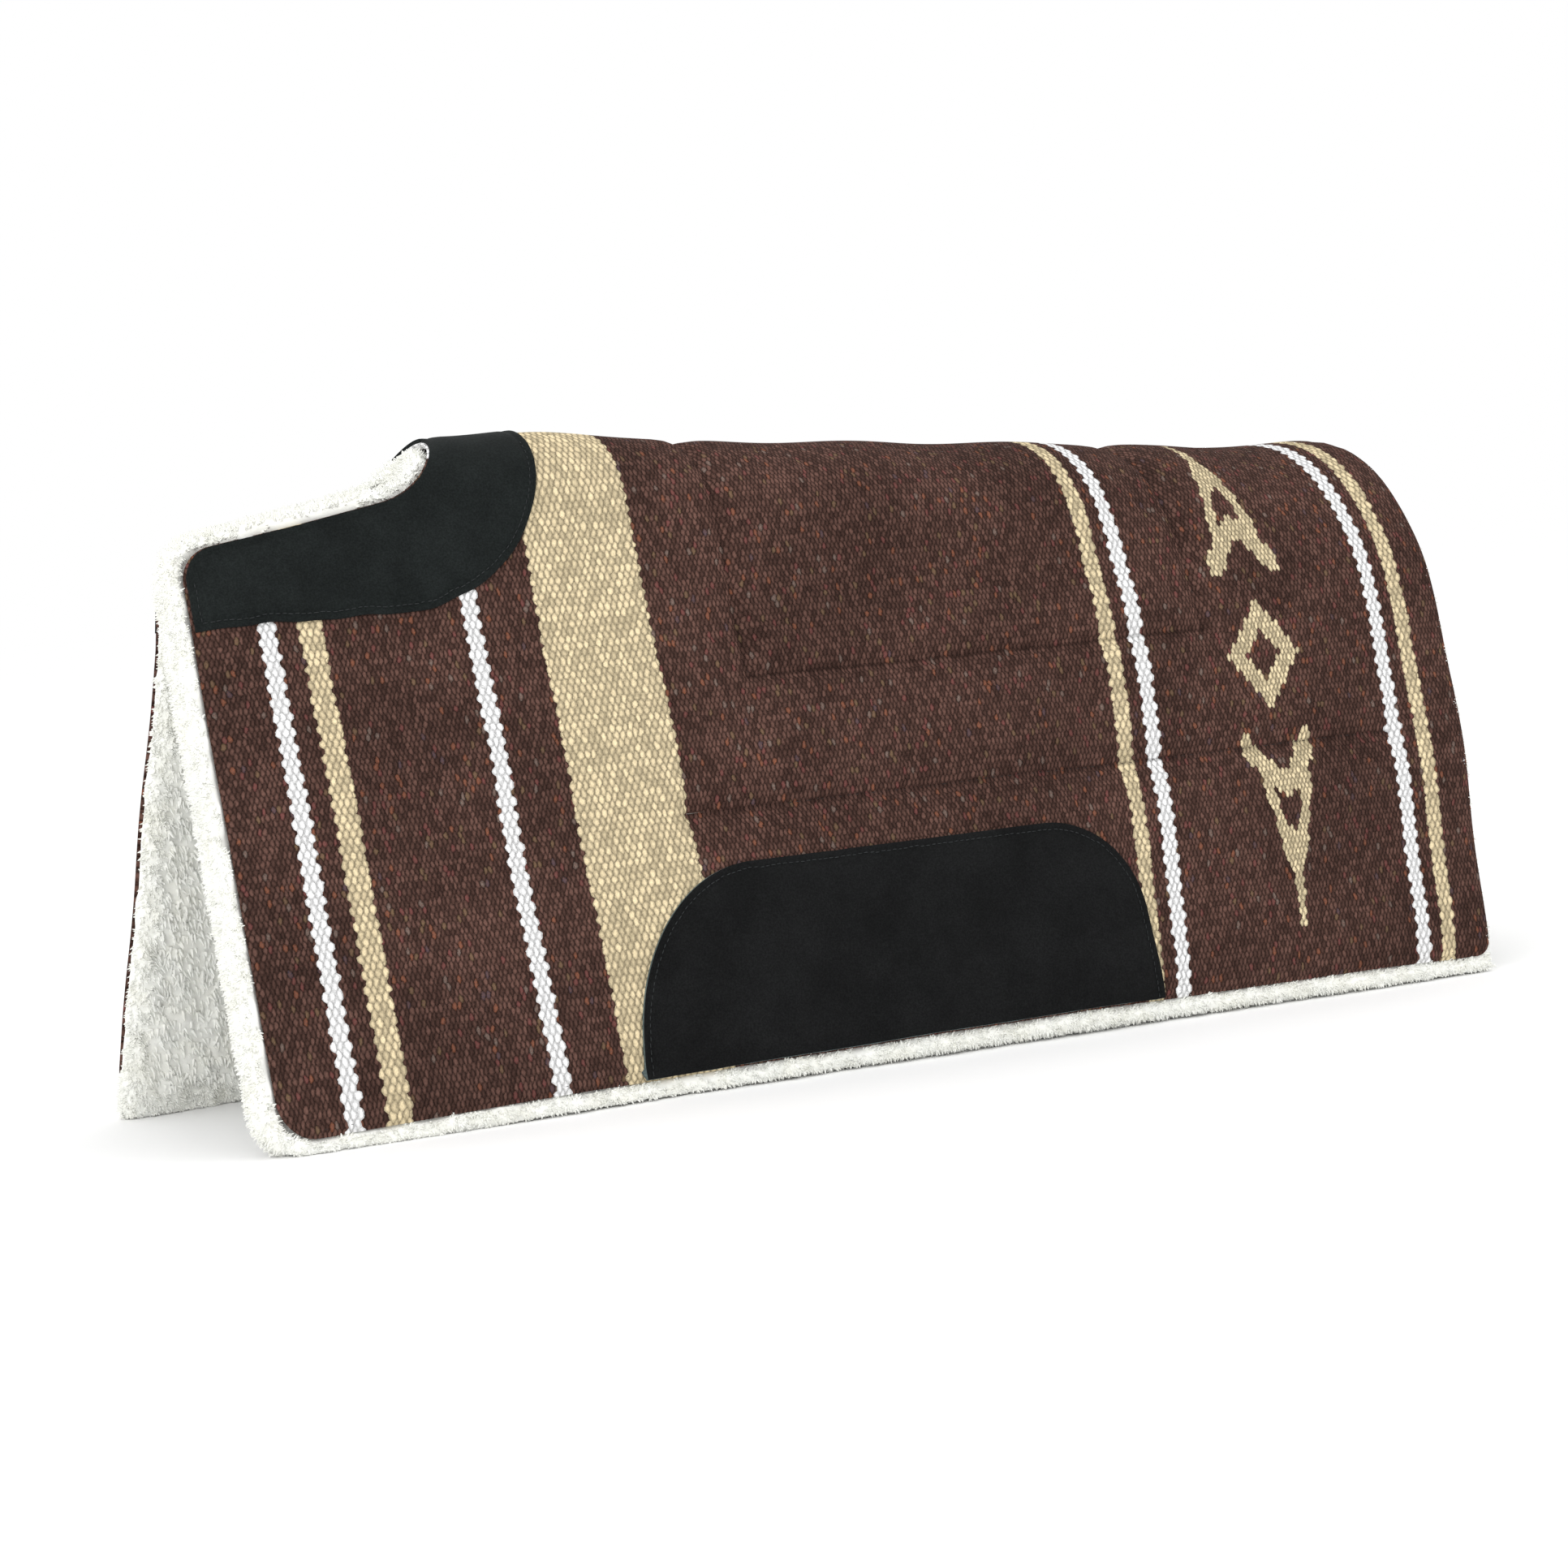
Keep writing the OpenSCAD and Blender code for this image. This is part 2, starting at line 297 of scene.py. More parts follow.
@dataclass(frozen=True)
class Outline:
    """The flat sheet's edges: a rectangle with round hem corners and a cut-back notch."""

    fold: Fold
    corner: float = 20 * MM
    rear_corner: float = 9 * MM
    notch_radius: float = 48 * MM
    notch_centre: float = 109 * MM
    notch_front: float = 64 * MM
    notch_corner: float = 20 * MM

    def _touch(self) -> float:
        """Angle at which the notch's straight edge leaves its round end.

        Returns:
            The angle, in radians.
        """
        to_corner = (self.notch_corner - self.notch_centre, self.notch_front + self.notch_corner)
        reach = math.hypot(*to_corner)
        return math.atan2(to_corner[1], to_corner[0]) - math.acos(
            (self.notch_radius + self.notch_corner) / reach)

    def notch(self, grow: float) -> Line:
        """Inner edge of the sheet as v over u, with every edge moved out by grow.

        Args:
            grow: How far the edge moves out of the pad, in metres.

        Returns:
            The edge as a function of u.
        """
        touch = self._touch()
        radius, corner = self.notch_radius - grow, self.notch_corner + grow
        u_a = self.notch_centre + radius * math.cos(touch)
        v_a = radius * math.sin(touch)
        u_b = self.notch_corner - corner * math.cos(touch)
        v_b = self.notch_front + self.notch_corner - corner * math.sin(touch)

        def edge(u: np.ndarray) -> np.ndarray:
            """Edge of the notch at u.

            Args:
                u: Flat places along the spine.

            Returns:
                The edge's v at each of them.
            """
            tip = np.sqrt(np.maximum(radius ** 2 - (u - self.notch_centre) ** 2, 0.0))
            straight = v_a + (u - u_a) * (v_b - v_a) / (u_b - u_a)
            round_front = self.notch_front + self.notch_corner - np.sqrt(
                np.maximum(corner ** 2 - (u - self.notch_corner) ** 2, 0.0))
            inner = np.where(u > u_a, tip, straight)
            return np.where(u < u_b, round_front, inner)
        return edge

    def notch_room(self, flat: np.ndarray, grow: float) -> np.ndarray:
        """Distance of flat points from the notch's edge, with the edge moved out by grow.

        Args:
            flat: Rows of u, v and depth.
            grow: How far the edge moves out of the pad.

        Returns:
            The distances, 0 where a point is past the edge.
        """
        u, v = flat[:, 0], flat[:, 1]
        radius = self.notch_radius - grow
        round_end = np.hypot(u - self.notch_centre, v) - radius
        straight = v - self.notch(grow)(u)
        return np.maximum(0.0, np.where(u > self.notch_centre + radius * math.cos(self._touch()),
                                        round_end, straight))

    def hem(self, grow: float) -> Line:
        """Outer edge of the sheet as v over u, with every edge moved out by grow.

        Args:
            grow: How far the edges move out of the pad, in metres.

        Returns:
            The edge as a function of u.
        """
        ends = ((self.corner, self.corner + grow), (self.rear_corner, self.rear_corner + grow))

        def edge(u: np.ndarray) -> np.ndarray:
            """Hem at u, with its corners rounded.

            Args:
                u: Flat places along the spine.

            Returns:
                The hem's v at each of them.
            """
            from_end = (u, self.fold.length - u)
            drops = [radius - np.sqrt(radius ** 2 - np.clip(corner - off, 0.0, radius) ** 2)
                     for (corner, radius), off in zip(ends, from_end)]
            return self.fold.half + grow - np.maximum(*drops)
        return edge


@dataclass(frozen=True)
class Drape:
    """Slow waves of the whole pad, and the crest that it keeps along its ridge."""

    fold: Fold
    wave: float = 1.3 * MM
    waves: int = 12
    lengths: tuple[float, float] = (90 * MM, 330 * MM)
    crest: float = 4.6 * MM
    crest_start: float = 110 * MM
    crest_run: float = 60 * MM
    crest_width: float = 60 * MM
    rear_from: float = 690 * MM
    rear_run: float = 80 * MM
    rear_width: float = 45 * MM
    rear_share: float = 0.6
    front_share: float = 0.45
    front_centre: float = 235 * MM
    front_width: float = 90 * MM
    dip_share: float = 0.85
    dip_centre: float = 668 * MM
    dip_width: float = 42 * MM
    seed: int = 7

    def height(self, u: np.ndarray, v: np.ndarray) -> np.ndarray:
        """Outward shift of every layer at flat points with signed v.

        Args:
            u: Flat places along the spine.
            v: Flat places out from it, signed.

        Returns:
            The shift at each place.
        """
        total = ripples(random.Random(self.seed), u, v, self.waves, self.lengths)
        total *= self.wave / math.sqrt(self.waves / 2)
        rear = climb(u, self.rear_from, self.rear_run)
        near_ridge = bell(v, 0.0, self.crest_width + self.rear_width * rear)
        start = climb(u, self.crest_start, self.crest_run)
        front = self.front_share * bell(u, self.front_centre, self.front_width)
        dip = self.dip_share * bell(u, self.dip_centre, self.dip_width)
        return total + self.crest * near_ridge * start * (1.0 + front + self.rear_share * rear - dip)


@dataclass(frozen=True)
class QuiltPlan:
    """Where the quilting runs on the flat sheet."""

    box_front: float = 317 * MM
    box_rear: float = 617 * MM
    box_half: float = 166 * MM
    row_front: float = 262 * MM
    row_rear: float = 735 * MM
    row_half: float = 241 * MM

    def lines(self) -> list[Run]:
        """Straight quilting runs on one half, as pairs of (u, v) ends.

        Returns:
            The runs' ends.
        """
        box, row = self.box_half, self.row_half
        return [((self.box_front, 0.0), (self.box_front, box)),
                ((self.box_front, box), (self.box_rear, box)),
                ((self.box_rear, box), (self.box_rear, 0.0)),
                ((self.row_front, row), (self.row_rear, row))]

    @staticmethod
    def creases() -> list[Run]:
        """Faint creases that the folded cloth keeps, as pairs of (u, v) ends.

        Returns:
            The creases' ends.
        """
        return [((0.385, 0.02), (0.388, 0.15)), ((0.455, 0.10), (0.456, 0.166)),
                ((0.493, 0.105), (0.492, 0.166)), ((0.345, 0.241), (0.347, 0.272)),
                ((0.598, 0.06), (0.603, 0.15)), ((0.262, 0.241), (0.32, 0.243))]

    @staticmethod
    def gap(u: np.ndarray, v: np.ndarray, runs: list[Run]) -> np.ndarray:
        """Distance from flat points to the nearest of the given runs.

        Args:
            u: Flat places along the spine.
            v: Flat places out from it, signed.
            runs: Straight runs as pairs of ends.

        Returns:
            The distances, at most 1 m.
        """
        best = np.full(u.shape, 1.0)
        for (u0, v0), (u1, v1) in runs:
            du, dv = u1 - u0, v1 - v0
            t = np.clip(((u - u0) * du + (np.abs(v) - v0) * dv) / (du * du + dv * dv), 0.0, 1.0)
            best = np.minimum(best, np.hypot(u - u0 - t * du, np.abs(v) - v0 - t * dv))
        return best


class CoverPuff:
    """The cover's swell between its quilting and its edges, from a cloth simulation of the flat sheet."""

    CAP = 3.0 * MM
    SUNK = 0.6 * CAP
    STEP = 8 * MM
    HELD_WITHIN = 5 * MM
    FRAMES = 20
    GROOVE, GROOVE_WIDTH = 2.2 * MM, 3.4 * MM
    CREASE, CREASE_WIDTH = 1.0 * MM, 4.0 * MM

    def __init__(self, fold: Fold, plan: QuiltPlan) -> None:
        """Runs the simulation.

        Args:
            fold: The pad's fold, for its flat sizes.
            plan: Where the quilting runs.
        """
        self.fold, self.plan = fold, plan
        self.nu = int(round(fold.length / self.STEP)) + 1
        self.nv = int(round(2 * fold.half / self.STEP)) + 1
        self.swell = self._simulate()

    def _lattice(self) -> tuple[np.ndarray, np.ndarray]:
        """Flat u and signed v of every lattice point.

        Returns:
            Two arrays, one row for each line across the pad.
        """
        us = np.linspace(0.0, self.fold.length, self.nu)
        vs = np.linspace(-self.fold.half, self.fold.half, self.nv)
        return np.meshgrid(us, vs, indexing="ij")

    def _room(self) -> np.ndarray:
        """Distance of every lattice point from what holds the cover down.

        Returns:
            The distances, in the lattice's shape.
        """
        u, v = self._lattice()
        edge = np.minimum(np.minimum(u, self.fold.length - u), self.fold.half - np.abs(v))
        return np.minimum(edge, self.plan.gap(u, v, self.plan.lines()))

    def _cloth(self) -> tuple[bpy.types.Object, np.ndarray, np.ndarray]:
        """A flat cloth over the lattice, and each of its vertices' place in the lattice.

        Returns:
            The cloth, and each vertex's row and column in the lattice.
        """
        bm = bmesh.new()
        bmesh.ops.create_grid(bm, x_segments=self.nu - 1, y_segments=self.nv - 1, size=0.5)
        mesh = bpy.data.meshes.new("cover_cloth")
        for vert in bm.verts:
            vert.co.x = (vert.co.x + 0.5) * self.fold.length
            vert.co.y = vert.co.y * 2 * self.fold.half
        bm.to_mesh(mesh)
        bm.free()
        cloth = bpy.data.objects.new("cover_cloth", mesh)
        bpy.context.scene.collection.objects.link(cloth)
        co = np.empty(len(mesh.vertices) * 3)
        mesh.vertices.foreach_get("co", co)
        co = co.reshape(-1, 3)
        iu = np.rint(co[:, 0] / self.fold.length * (self.nu - 1)).astype(int)
        iv = np.rint((co[:, 1] / self.fold.half + 1) / 2 * (self.nv - 1)).astype(int)
        return cloth, iu, iv

    def _simulate(self) -> np.ndarray:
        """Swell of a cloth that is held at its quilting and pressed out by the filling.

        Returns:
            The swell, in the lattice's shape.
        """
        cloth, iu, iv = self._cloth()
        held = cloth.vertex_groups.new(name="held")
        pinned = np.flatnonzero(self._room()[iu, iv] < self.HELD_WITHIN)
        held.add([int(i) for i in pinned], 1.0, "REPLACE")
        modifier = cloth.modifiers.new("cloth", "CLOTH")
        sets = modifier.settings
        sets.quality = 6
        sets.mass = 0.15
        sets.tension_stiffness = sets.compression_stiffness = 12
        sets.bending_stiffness = 0.8
        sets.vertex_group_mass = held.name
        sets.shrink_min = -0.012
        sets.use_pressure = True
        sets.uniform_pressure_force = 4.0
        sets.effector_weights.gravity = 0.0
        modifier.collision_settings.use_collision = False
        modifier.point_cache.frame_end = self.FRAMES
        scene = bpy.context.scene
        for frame_no in range(1, self.FRAMES + 1):
            scene.frame_set(frame_no)
        ready = cloth.evaluated_get(bpy.context.evaluated_depsgraph_get())
        out = np.empty(len(ready.data.vertices) * 3)
        ready.data.vertices.foreach_get("co", out)
        scene.frame_set(1)
        swell = np.zeros((self.nu, self.nv))
        swell[iu, iv] = out.reshape(-1, 3)[:, 2]
        bpy.data.objects.remove(cloth)
        log.info("cover cloth: swell from %.1f to %.1f mm", swell.min() / MM, swell.max() / MM)
        if swell.max() < -swell.min():
            swell = -swell
        return self.CAP * np.tanh(swell / self.CAP)

    def height(self, u: np.ndarray, v: np.ndarray) -> np.ndarray:
        """Swell at flat points with signed v, with the quilting pulled in.

        Args:
            u: Flat places along the spine.
            v: Flat places out from it, signed.

        Returns:
            The swell at each place, in metres.
        """
        x = np.clip(u / self.fold.length, 0.0, 1.0) * (self.nu - 1)
        y = np.clip((v / self.fold.half + 1) / 2, 0.0, 1.0) * (self.nv - 1)
        i = np.minimum(x.astype(int), self.nu - 2)
        j = np.minimum(y.astype(int), self.nv - 2)
        a, b = x - i, y - j
        s = self.swell
        smooth = (s[i, j] * (1 - a) * (1 - b) + s[i + 1, j] * a * (1 - b)
                  + s[i, j + 1] * (1 - a) * b + s[i + 1, j + 1] * a * b)
        groove = self.GROOVE * bell(self.plan.gap(u, v, self.plan.lines()), 0.0, self.GROOVE_WIDTH)
        crease = self.CREASE * bell(self.plan.gap(u, v, self.plan.creases()), 0.0, self.CREASE_WIDTH)
        return smooth - groove - crease - self.SUNK


# ---- mesh helpers ----


@dataclass(frozen=True)
class Panel:
    """A stretch of the flat sheet between two edges given as v over u."""

    u0: float
    u1: float
    low: Line
    high: Line
    step: float = 3.4 * MM
    fine: int = 6000

    def u_lines(self) -> np.ndarray:
        """Places of the lines across the panel, closer where an edge is steep.

        Returns:
            The lines' u, from front to rear.
        """
        fine = np.linspace(self.u0, self.u1, self.fine)
        low, high = self.low(fine), self.high(fine)
        travel = np.hypot(np.hypot(np.diff(fine), np.diff(low)), np.diff(high))
        total = np.concatenate([[0.0], np.cumsum(travel)])
        count = max(4, int(round(total[-1] / self.step)))
        return np.interp(np.linspace(0.0, total[-1], count + 1), total, fine)

    def area(self) -> float:
        """Flat area in square metres."""
        us = np.linspace(self.u0, self.u1, 600)
        return float(np.mean(self.high(us) - self.low(us)) * (self.u1 - self.u0))

    def grid(self) -> tuple[bmesh.types.BMesh, np.ndarray]:
        """Makes the flat grid.

        Returns:
            The grid with its flat u and v in a UV layer named Flat, and each vertex's distances
            from the front, rear, low and high edges, by vertex index.
        """
        us = self.u_lines()
        nu = len(us) - 1
        widest = float(np.max(self.high(us) - self.low(us)))
        nv = max(3, int(round(widest / self.step)))
        bm = bmesh.new()
        bmesh.ops.create_grid(bm, x_segments=nu, y_segments=nv, size=0.5)
        bm.verts.ensure_lookup_table()
        flat = np.array([v.co for v in bm.verts])
        u = us[np.rint((flat[:, 0] + 0.5) * nu).astype(int)]
        low, high = self.low(u), self.high(u)
        v = low + (flat[:, 1] + 0.5) * (high - low)
        for vert, a, b in zip(bm.verts, u, v):
            vert.co = (a, b, 0.0)
        room = np.stack([u - self.u0, self.u1 - u, v - low, high - v], axis=1)
        return bm, room


def name_uv(bm: bmesh.types.BMesh, side: Side) -> None:
    """Writes each corner's flat place, with signed v, to the UV map Flat.

    Args:
        bm: A grid that still lies flat.
        side: The half that it belongs to.
    """
    layer = bm.loops.layers.uv.new("Flat")
    for face in bm.faces:
        for loop in face.loops:
            loop[layer].uv = (loop.vert.co.x, loop.vert.co.y * side.value)


def lay_on(bm: bmesh.types.BMesh, fold: Fold, side: Side, depth: np.ndarray) -> None:
    """Moves a flat bmesh's vertices onto the folded pad at the given depths, faces outward.

    Args:
        bm: A grid that lies flat.
        fold: The pad's fold.
        side: The half that it goes on.
        depth: Each vertex's depth in from the cover's outer face.
    """
    bm.verts.ensure_lookup_table()
    flat = np.array([v.co for v in bm.verts])
    flat[:, 2] = depth
    for vert, co in zip(bm.verts, fold.place(flat, side)):
        vert.co = co
    if side is Side.LEFT:
        bmesh.ops.reverse_faces(bm, faces=bm.faces[:])


def to_object(bm: bmesh.types.BMesh, name: str, finish: bpy.types.Material) -> bpy.types.Object:
    """Turns a bmesh into a smooth-shaded object in the scene.

    Args:
        bm: The finished shape, which is freed.
        name: Name of the piece.
        finish: Its material.

    Returns:
        The new object.
    """
    for face in bm.faces:
        face.smooth = True
    mesh = bpy.data.meshes.new(name)
    bm.to_mesh(mesh)
    bm.free()
    mesh.materials.append(finish)
    obj = bpy.data.objects.new(name, mesh)
    bpy.context.scene.collection.objects.link(obj)
    return obj


def thicken(obj: bpy.types.Object, thick: float, bevel: float,
            rim: Optional[bpy.types.Material] = None) -> None:
    """Gives an open sheet its thickness inward, with softened edges and its own finish on the rim.

    Args:
        obj: The sheet, with its outer face up.
        thick: The thickness to give.
        bevel: Width of the softened edges.
        rim: Finish of the cut edge, where it differs.
    """
    solid = obj.modifiers.new("thickness", "SOLIDIFY")
    solid.thickness = thick
    solid.offset = -1.0
    solid.use_even_offset = True
    if rim is not None:
        obj.data.materials.append(rim)
        solid.material_offset_rim = 1
    soft = obj.modifiers.new("soft_edge", "BEVEL")
    soft.width = bevel
    soft.segments = 2
    soft.limit_method = "ANGLE"
    soft.angle_limit = math.radians(50)


def bend_with(obj: bpy.types.Object) -> None:
    """Bakes a piece's placement into its mesh."""
    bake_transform(obj)


class Stamp:
    """A small mesh shape that is copied to many places on the pad."""

    def __init__(self, bm: bmesh.types.BMesh) -> None:
        """Keeps the shape's vertices and faces, and frees the bmesh.

        Args:
            bm: The shape, of unit size.
        """
        bmesh.ops.triangulate(bm, faces=bm.faces[:])
        bm.verts.index_update()
        self.points = np.array([v.co for v in bm.verts])
        self.faces = np.array([[v.index for v in f.verts] for f in bm.faces])
        bm.free()

    def copies(self, places: np.ndarray, axes: np.ndarray, sizes: np.ndarray) -> bpy.types.Mesh:
        """Copies the shape.

        Args:
            places: Rows of x, y and z.
            axes: A 3 by 3 matrix for each place, with columns X, Y and Z.
            sizes: Rows of the scale along the shape's X, Y and Z.

        Returns:
            One mesh of all the copies.
        """
        shaped = self.points[None] * sizes[:, None, :]
        points = np.einsum("nij,nkj->nki", axes, shaped) + places[:, None, :]
        count, size = len(places), len(self.points)
        faces = (self.faces[None] + (np.arange(count) * size)[:, None, None]).reshape(-1, 3)
        mesh = bpy.data.meshes.new("stamped")
        mesh.vertices.add(count * size)
        mesh.vertices.foreach_set("co", points.reshape(-1))
        mesh.loops.add(faces.size)
        mesh.loops.foreach_set("vertex_index", faces.reshape(-1))
        mesh.polygons.add(len(faces))
        mesh.polygons.foreach_set("loop_start", np.arange(0, faces.size, 3))
        mesh.polygons.foreach_set("use_smooth", np.ones(len(faces), bool))
        mesh.update(calc_edges=True)
        return mesh


# ---- finishes ----


class Nodes:
    """Short calls for building a material's node tree."""

    def __init__(self, name: str) -> None:
        """Starts a material with an empty principled shader.

        Args:
            name: Name of the material.
        """
        self.material = bpy.data.materials.new(name)
        self.material.use_nodes = True
        self.tree = self.material.node_tree
        self.shader = self.tree.nodes["Principled BSDF"]

    def add(self, kind: str, **values) -> bpy.types.Node:
        """Adds a node and sets its properties.

        Args:
            kind: The node's type.
            **values: Its properties.

        Returns:
            The node.
        """
        node = self.tree.nodes.new(kind)
        for key, value in values.items():
            setattr(node, key, value)
        return node

    def plug(self, socket: Socket, value: Feed) -> None:
        """Links a socket to another, or sets it to a plain value.

        Args:
            socket: The input.
            value: A socket or a plain value.
        """
        if isinstance(value, Socket):
            self.tree.links.new(value, socket)
        else:
            socket.default_value = value

    def math(self, operation: str, *values: Feed) -> Socket:
        """A math node's result.

        Args:
            operation: The node's operation.
            *values: Its inputs.

        Returns:
            The result.
        """
        node = self.add("ShaderNodeMath", operation=operation)
        for socket, value in zip(node.inputs, values):
            self.plug(socket, value)
        return node.outputs[0]

    def mix(self, factor: Feed, a: Feed, b: Feed, blend: str = "MIX") -> Socket:
        """A colour between a and b.

        Args:
            factor: Share of b.
            a: First colour.
            b: Second colour.
            blend: Way of blending.

        Returns:
            The blended colour.
        """
        node = self.add("ShaderNodeMix", data_type="RGBA", blend_type=blend, clamp_factor=True)
        self.plug(node.inputs["Factor"], factor)
        self.plug(node.inputs[6], a)
        self.plug(node.inputs[7], b)
        return node.outputs[2]

    def noise(self, vector: Socket, scale: float, detail: float = 3.0, rough: float = 0.6) -> Socket:
        """A noise texture's value.

        Args:
            vector: Where the noise is read.
            scale: Lumps in each metre.
            detail: Finer layers.
            rough: Strength of the finer layers.

        Returns:
            The value, about 0.5.
        """
        node = self.add("ShaderNodeTexNoise")
        self.plug(node.inputs["Vector"], vector)
        self.plug(node.inputs["Scale"], scale)
        self.plug(node.inputs["Detail"], detail)
        self.plug(node.inputs["Roughness"], rough)
        return node.outputs[0]

    def ramp(self, value: Feed, low: float, high: float, to_low: Feed = 0.0, to_high: Feed = 1.0,
             smooth: bool = True) -> Socket:
        """Maps a value from one range to another, held at both ends.

        Args:
            value: What is mapped.
            low: Start of its range.
            high: End of its range.
            to_low: Result at the start.
            to_high: Result at the end.
            smooth: Whether the run is eased at both ends.

        Returns:
            The mapped value.
        """
        node = self.add("ShaderNodeMapRange", interpolation_type="SMOOTHSTEP" if smooth else "LINEAR")
        for socket, given in zip(node.inputs, (value, low, high, to_low, to_high)):
            self.plug(socket, given)
        return node.outputs[0]

    def combine(self, x: Feed, y: Feed, z: Feed) -> Socket:
        """A vector from three values.

        Args:
            x: First part.
            y: Second part.
            z: Third part.

        Returns:
            The vector.
        """
        node = self.add("ShaderNodeCombineXYZ")
        for socket, value in zip(node.inputs, (x, y, z)):
            self.plug(socket, value)
        return node.outputs[0]

    def random(self, vector: Socket) -> tuple[Socket, Socket]:
        """A value and a colour that differ from cell to cell.

        Args:
            vector: The cell's own place.

        Returns:
            The value and the colour.
        """
        node = self.add("ShaderNodeTexWhiteNoise", noise_dimensions="3D")
        self.plug(node.inputs["Vector"], vector)
        return node.outputs["Value"], node.outputs["Color"]

    def bump(self, height: Socket, strength: float, distance: float,
             under: Optional[Socket] = None) -> Socket:
        """A normal bumped by a height in units of distance.

        Args:
            height: Height from 0 to 1.
            strength: Share of the bump that shows.
            distance: Height in metres at 1.
            under: A normal that is bumped further.

        Returns:
            The normal.
        """
        node = self.add("ShaderNodeBump")
        self.plug(node.inputs["Strength"], strength)
        self.plug(node.inputs["Distance"], distance)
        self.plug(node.inputs["Height"], height)
        if under is not None:
            self.plug(node.inputs["Normal"], under)
        return node.outputs[0]

    def place(self) -> Socket:
        """Object coordinates in metres."""
        return self.add("ShaderNodeTexCoord").outputs["Object"]

    def split(self, vector: Socket) -> bpy.types.NodeOutputs:
        """The three parts of a vector.

        Args:
            vector: What is split.

        Returns:
            Its parts, in order.
        """
        node = self.add("ShaderNodeSeparateXYZ")
        self.plug(node.inputs[0], vector)
        return node.outputs

    def scaled(self, colour: Feed, level: Feed) -> Socket:
        """A colour times a level."""
        return self.mix(1.0, colour, self.combine(level, level, level), "MULTIPLY")

    def finish(self, colour: Feed, rough: float, normal: Optional[Socket] = None,
               specular: float = 0.5, sheen: float = 0.0, sheen_rough: float = 0.5) -> bpy.types.Material:
        """Plugs the shader's sockets and gives the material.

        Args:
            colour: Base colour.
            rough: Roughness.
            normal: A bumped normal.
            specular: Strength of the gloss.
            sheen: Strength of the sheen.
            sheen_rough: Roughness of the sheen.

        Returns:
            The material.
        """
        for name, value in (("Base Color", colour), ("Roughness", rough), ("Specular IOR Level", specular),
                            ("Sheen Weight", sheen), ("Sheen Roughness", sheen_rough)):
            self.plug(self.shader.inputs[name], value)
        if normal is not None:
            self.plug(self.shader.inputs["Normal"], normal)
        return self.material

    def flat(self) -> tuple[Socket, Socket]:
        """Flat u and signed v in metres, from the UV map."""
        parts = self.split(self.add("ShaderNodeUVMap", uv_map="Flat").outputs[0])
        return parts[0], parts[1]


@dataclass(frozen=True)
class Stripe:
    """One woven stripe across the pad."""

    centre: float
    width: float
    white: bool


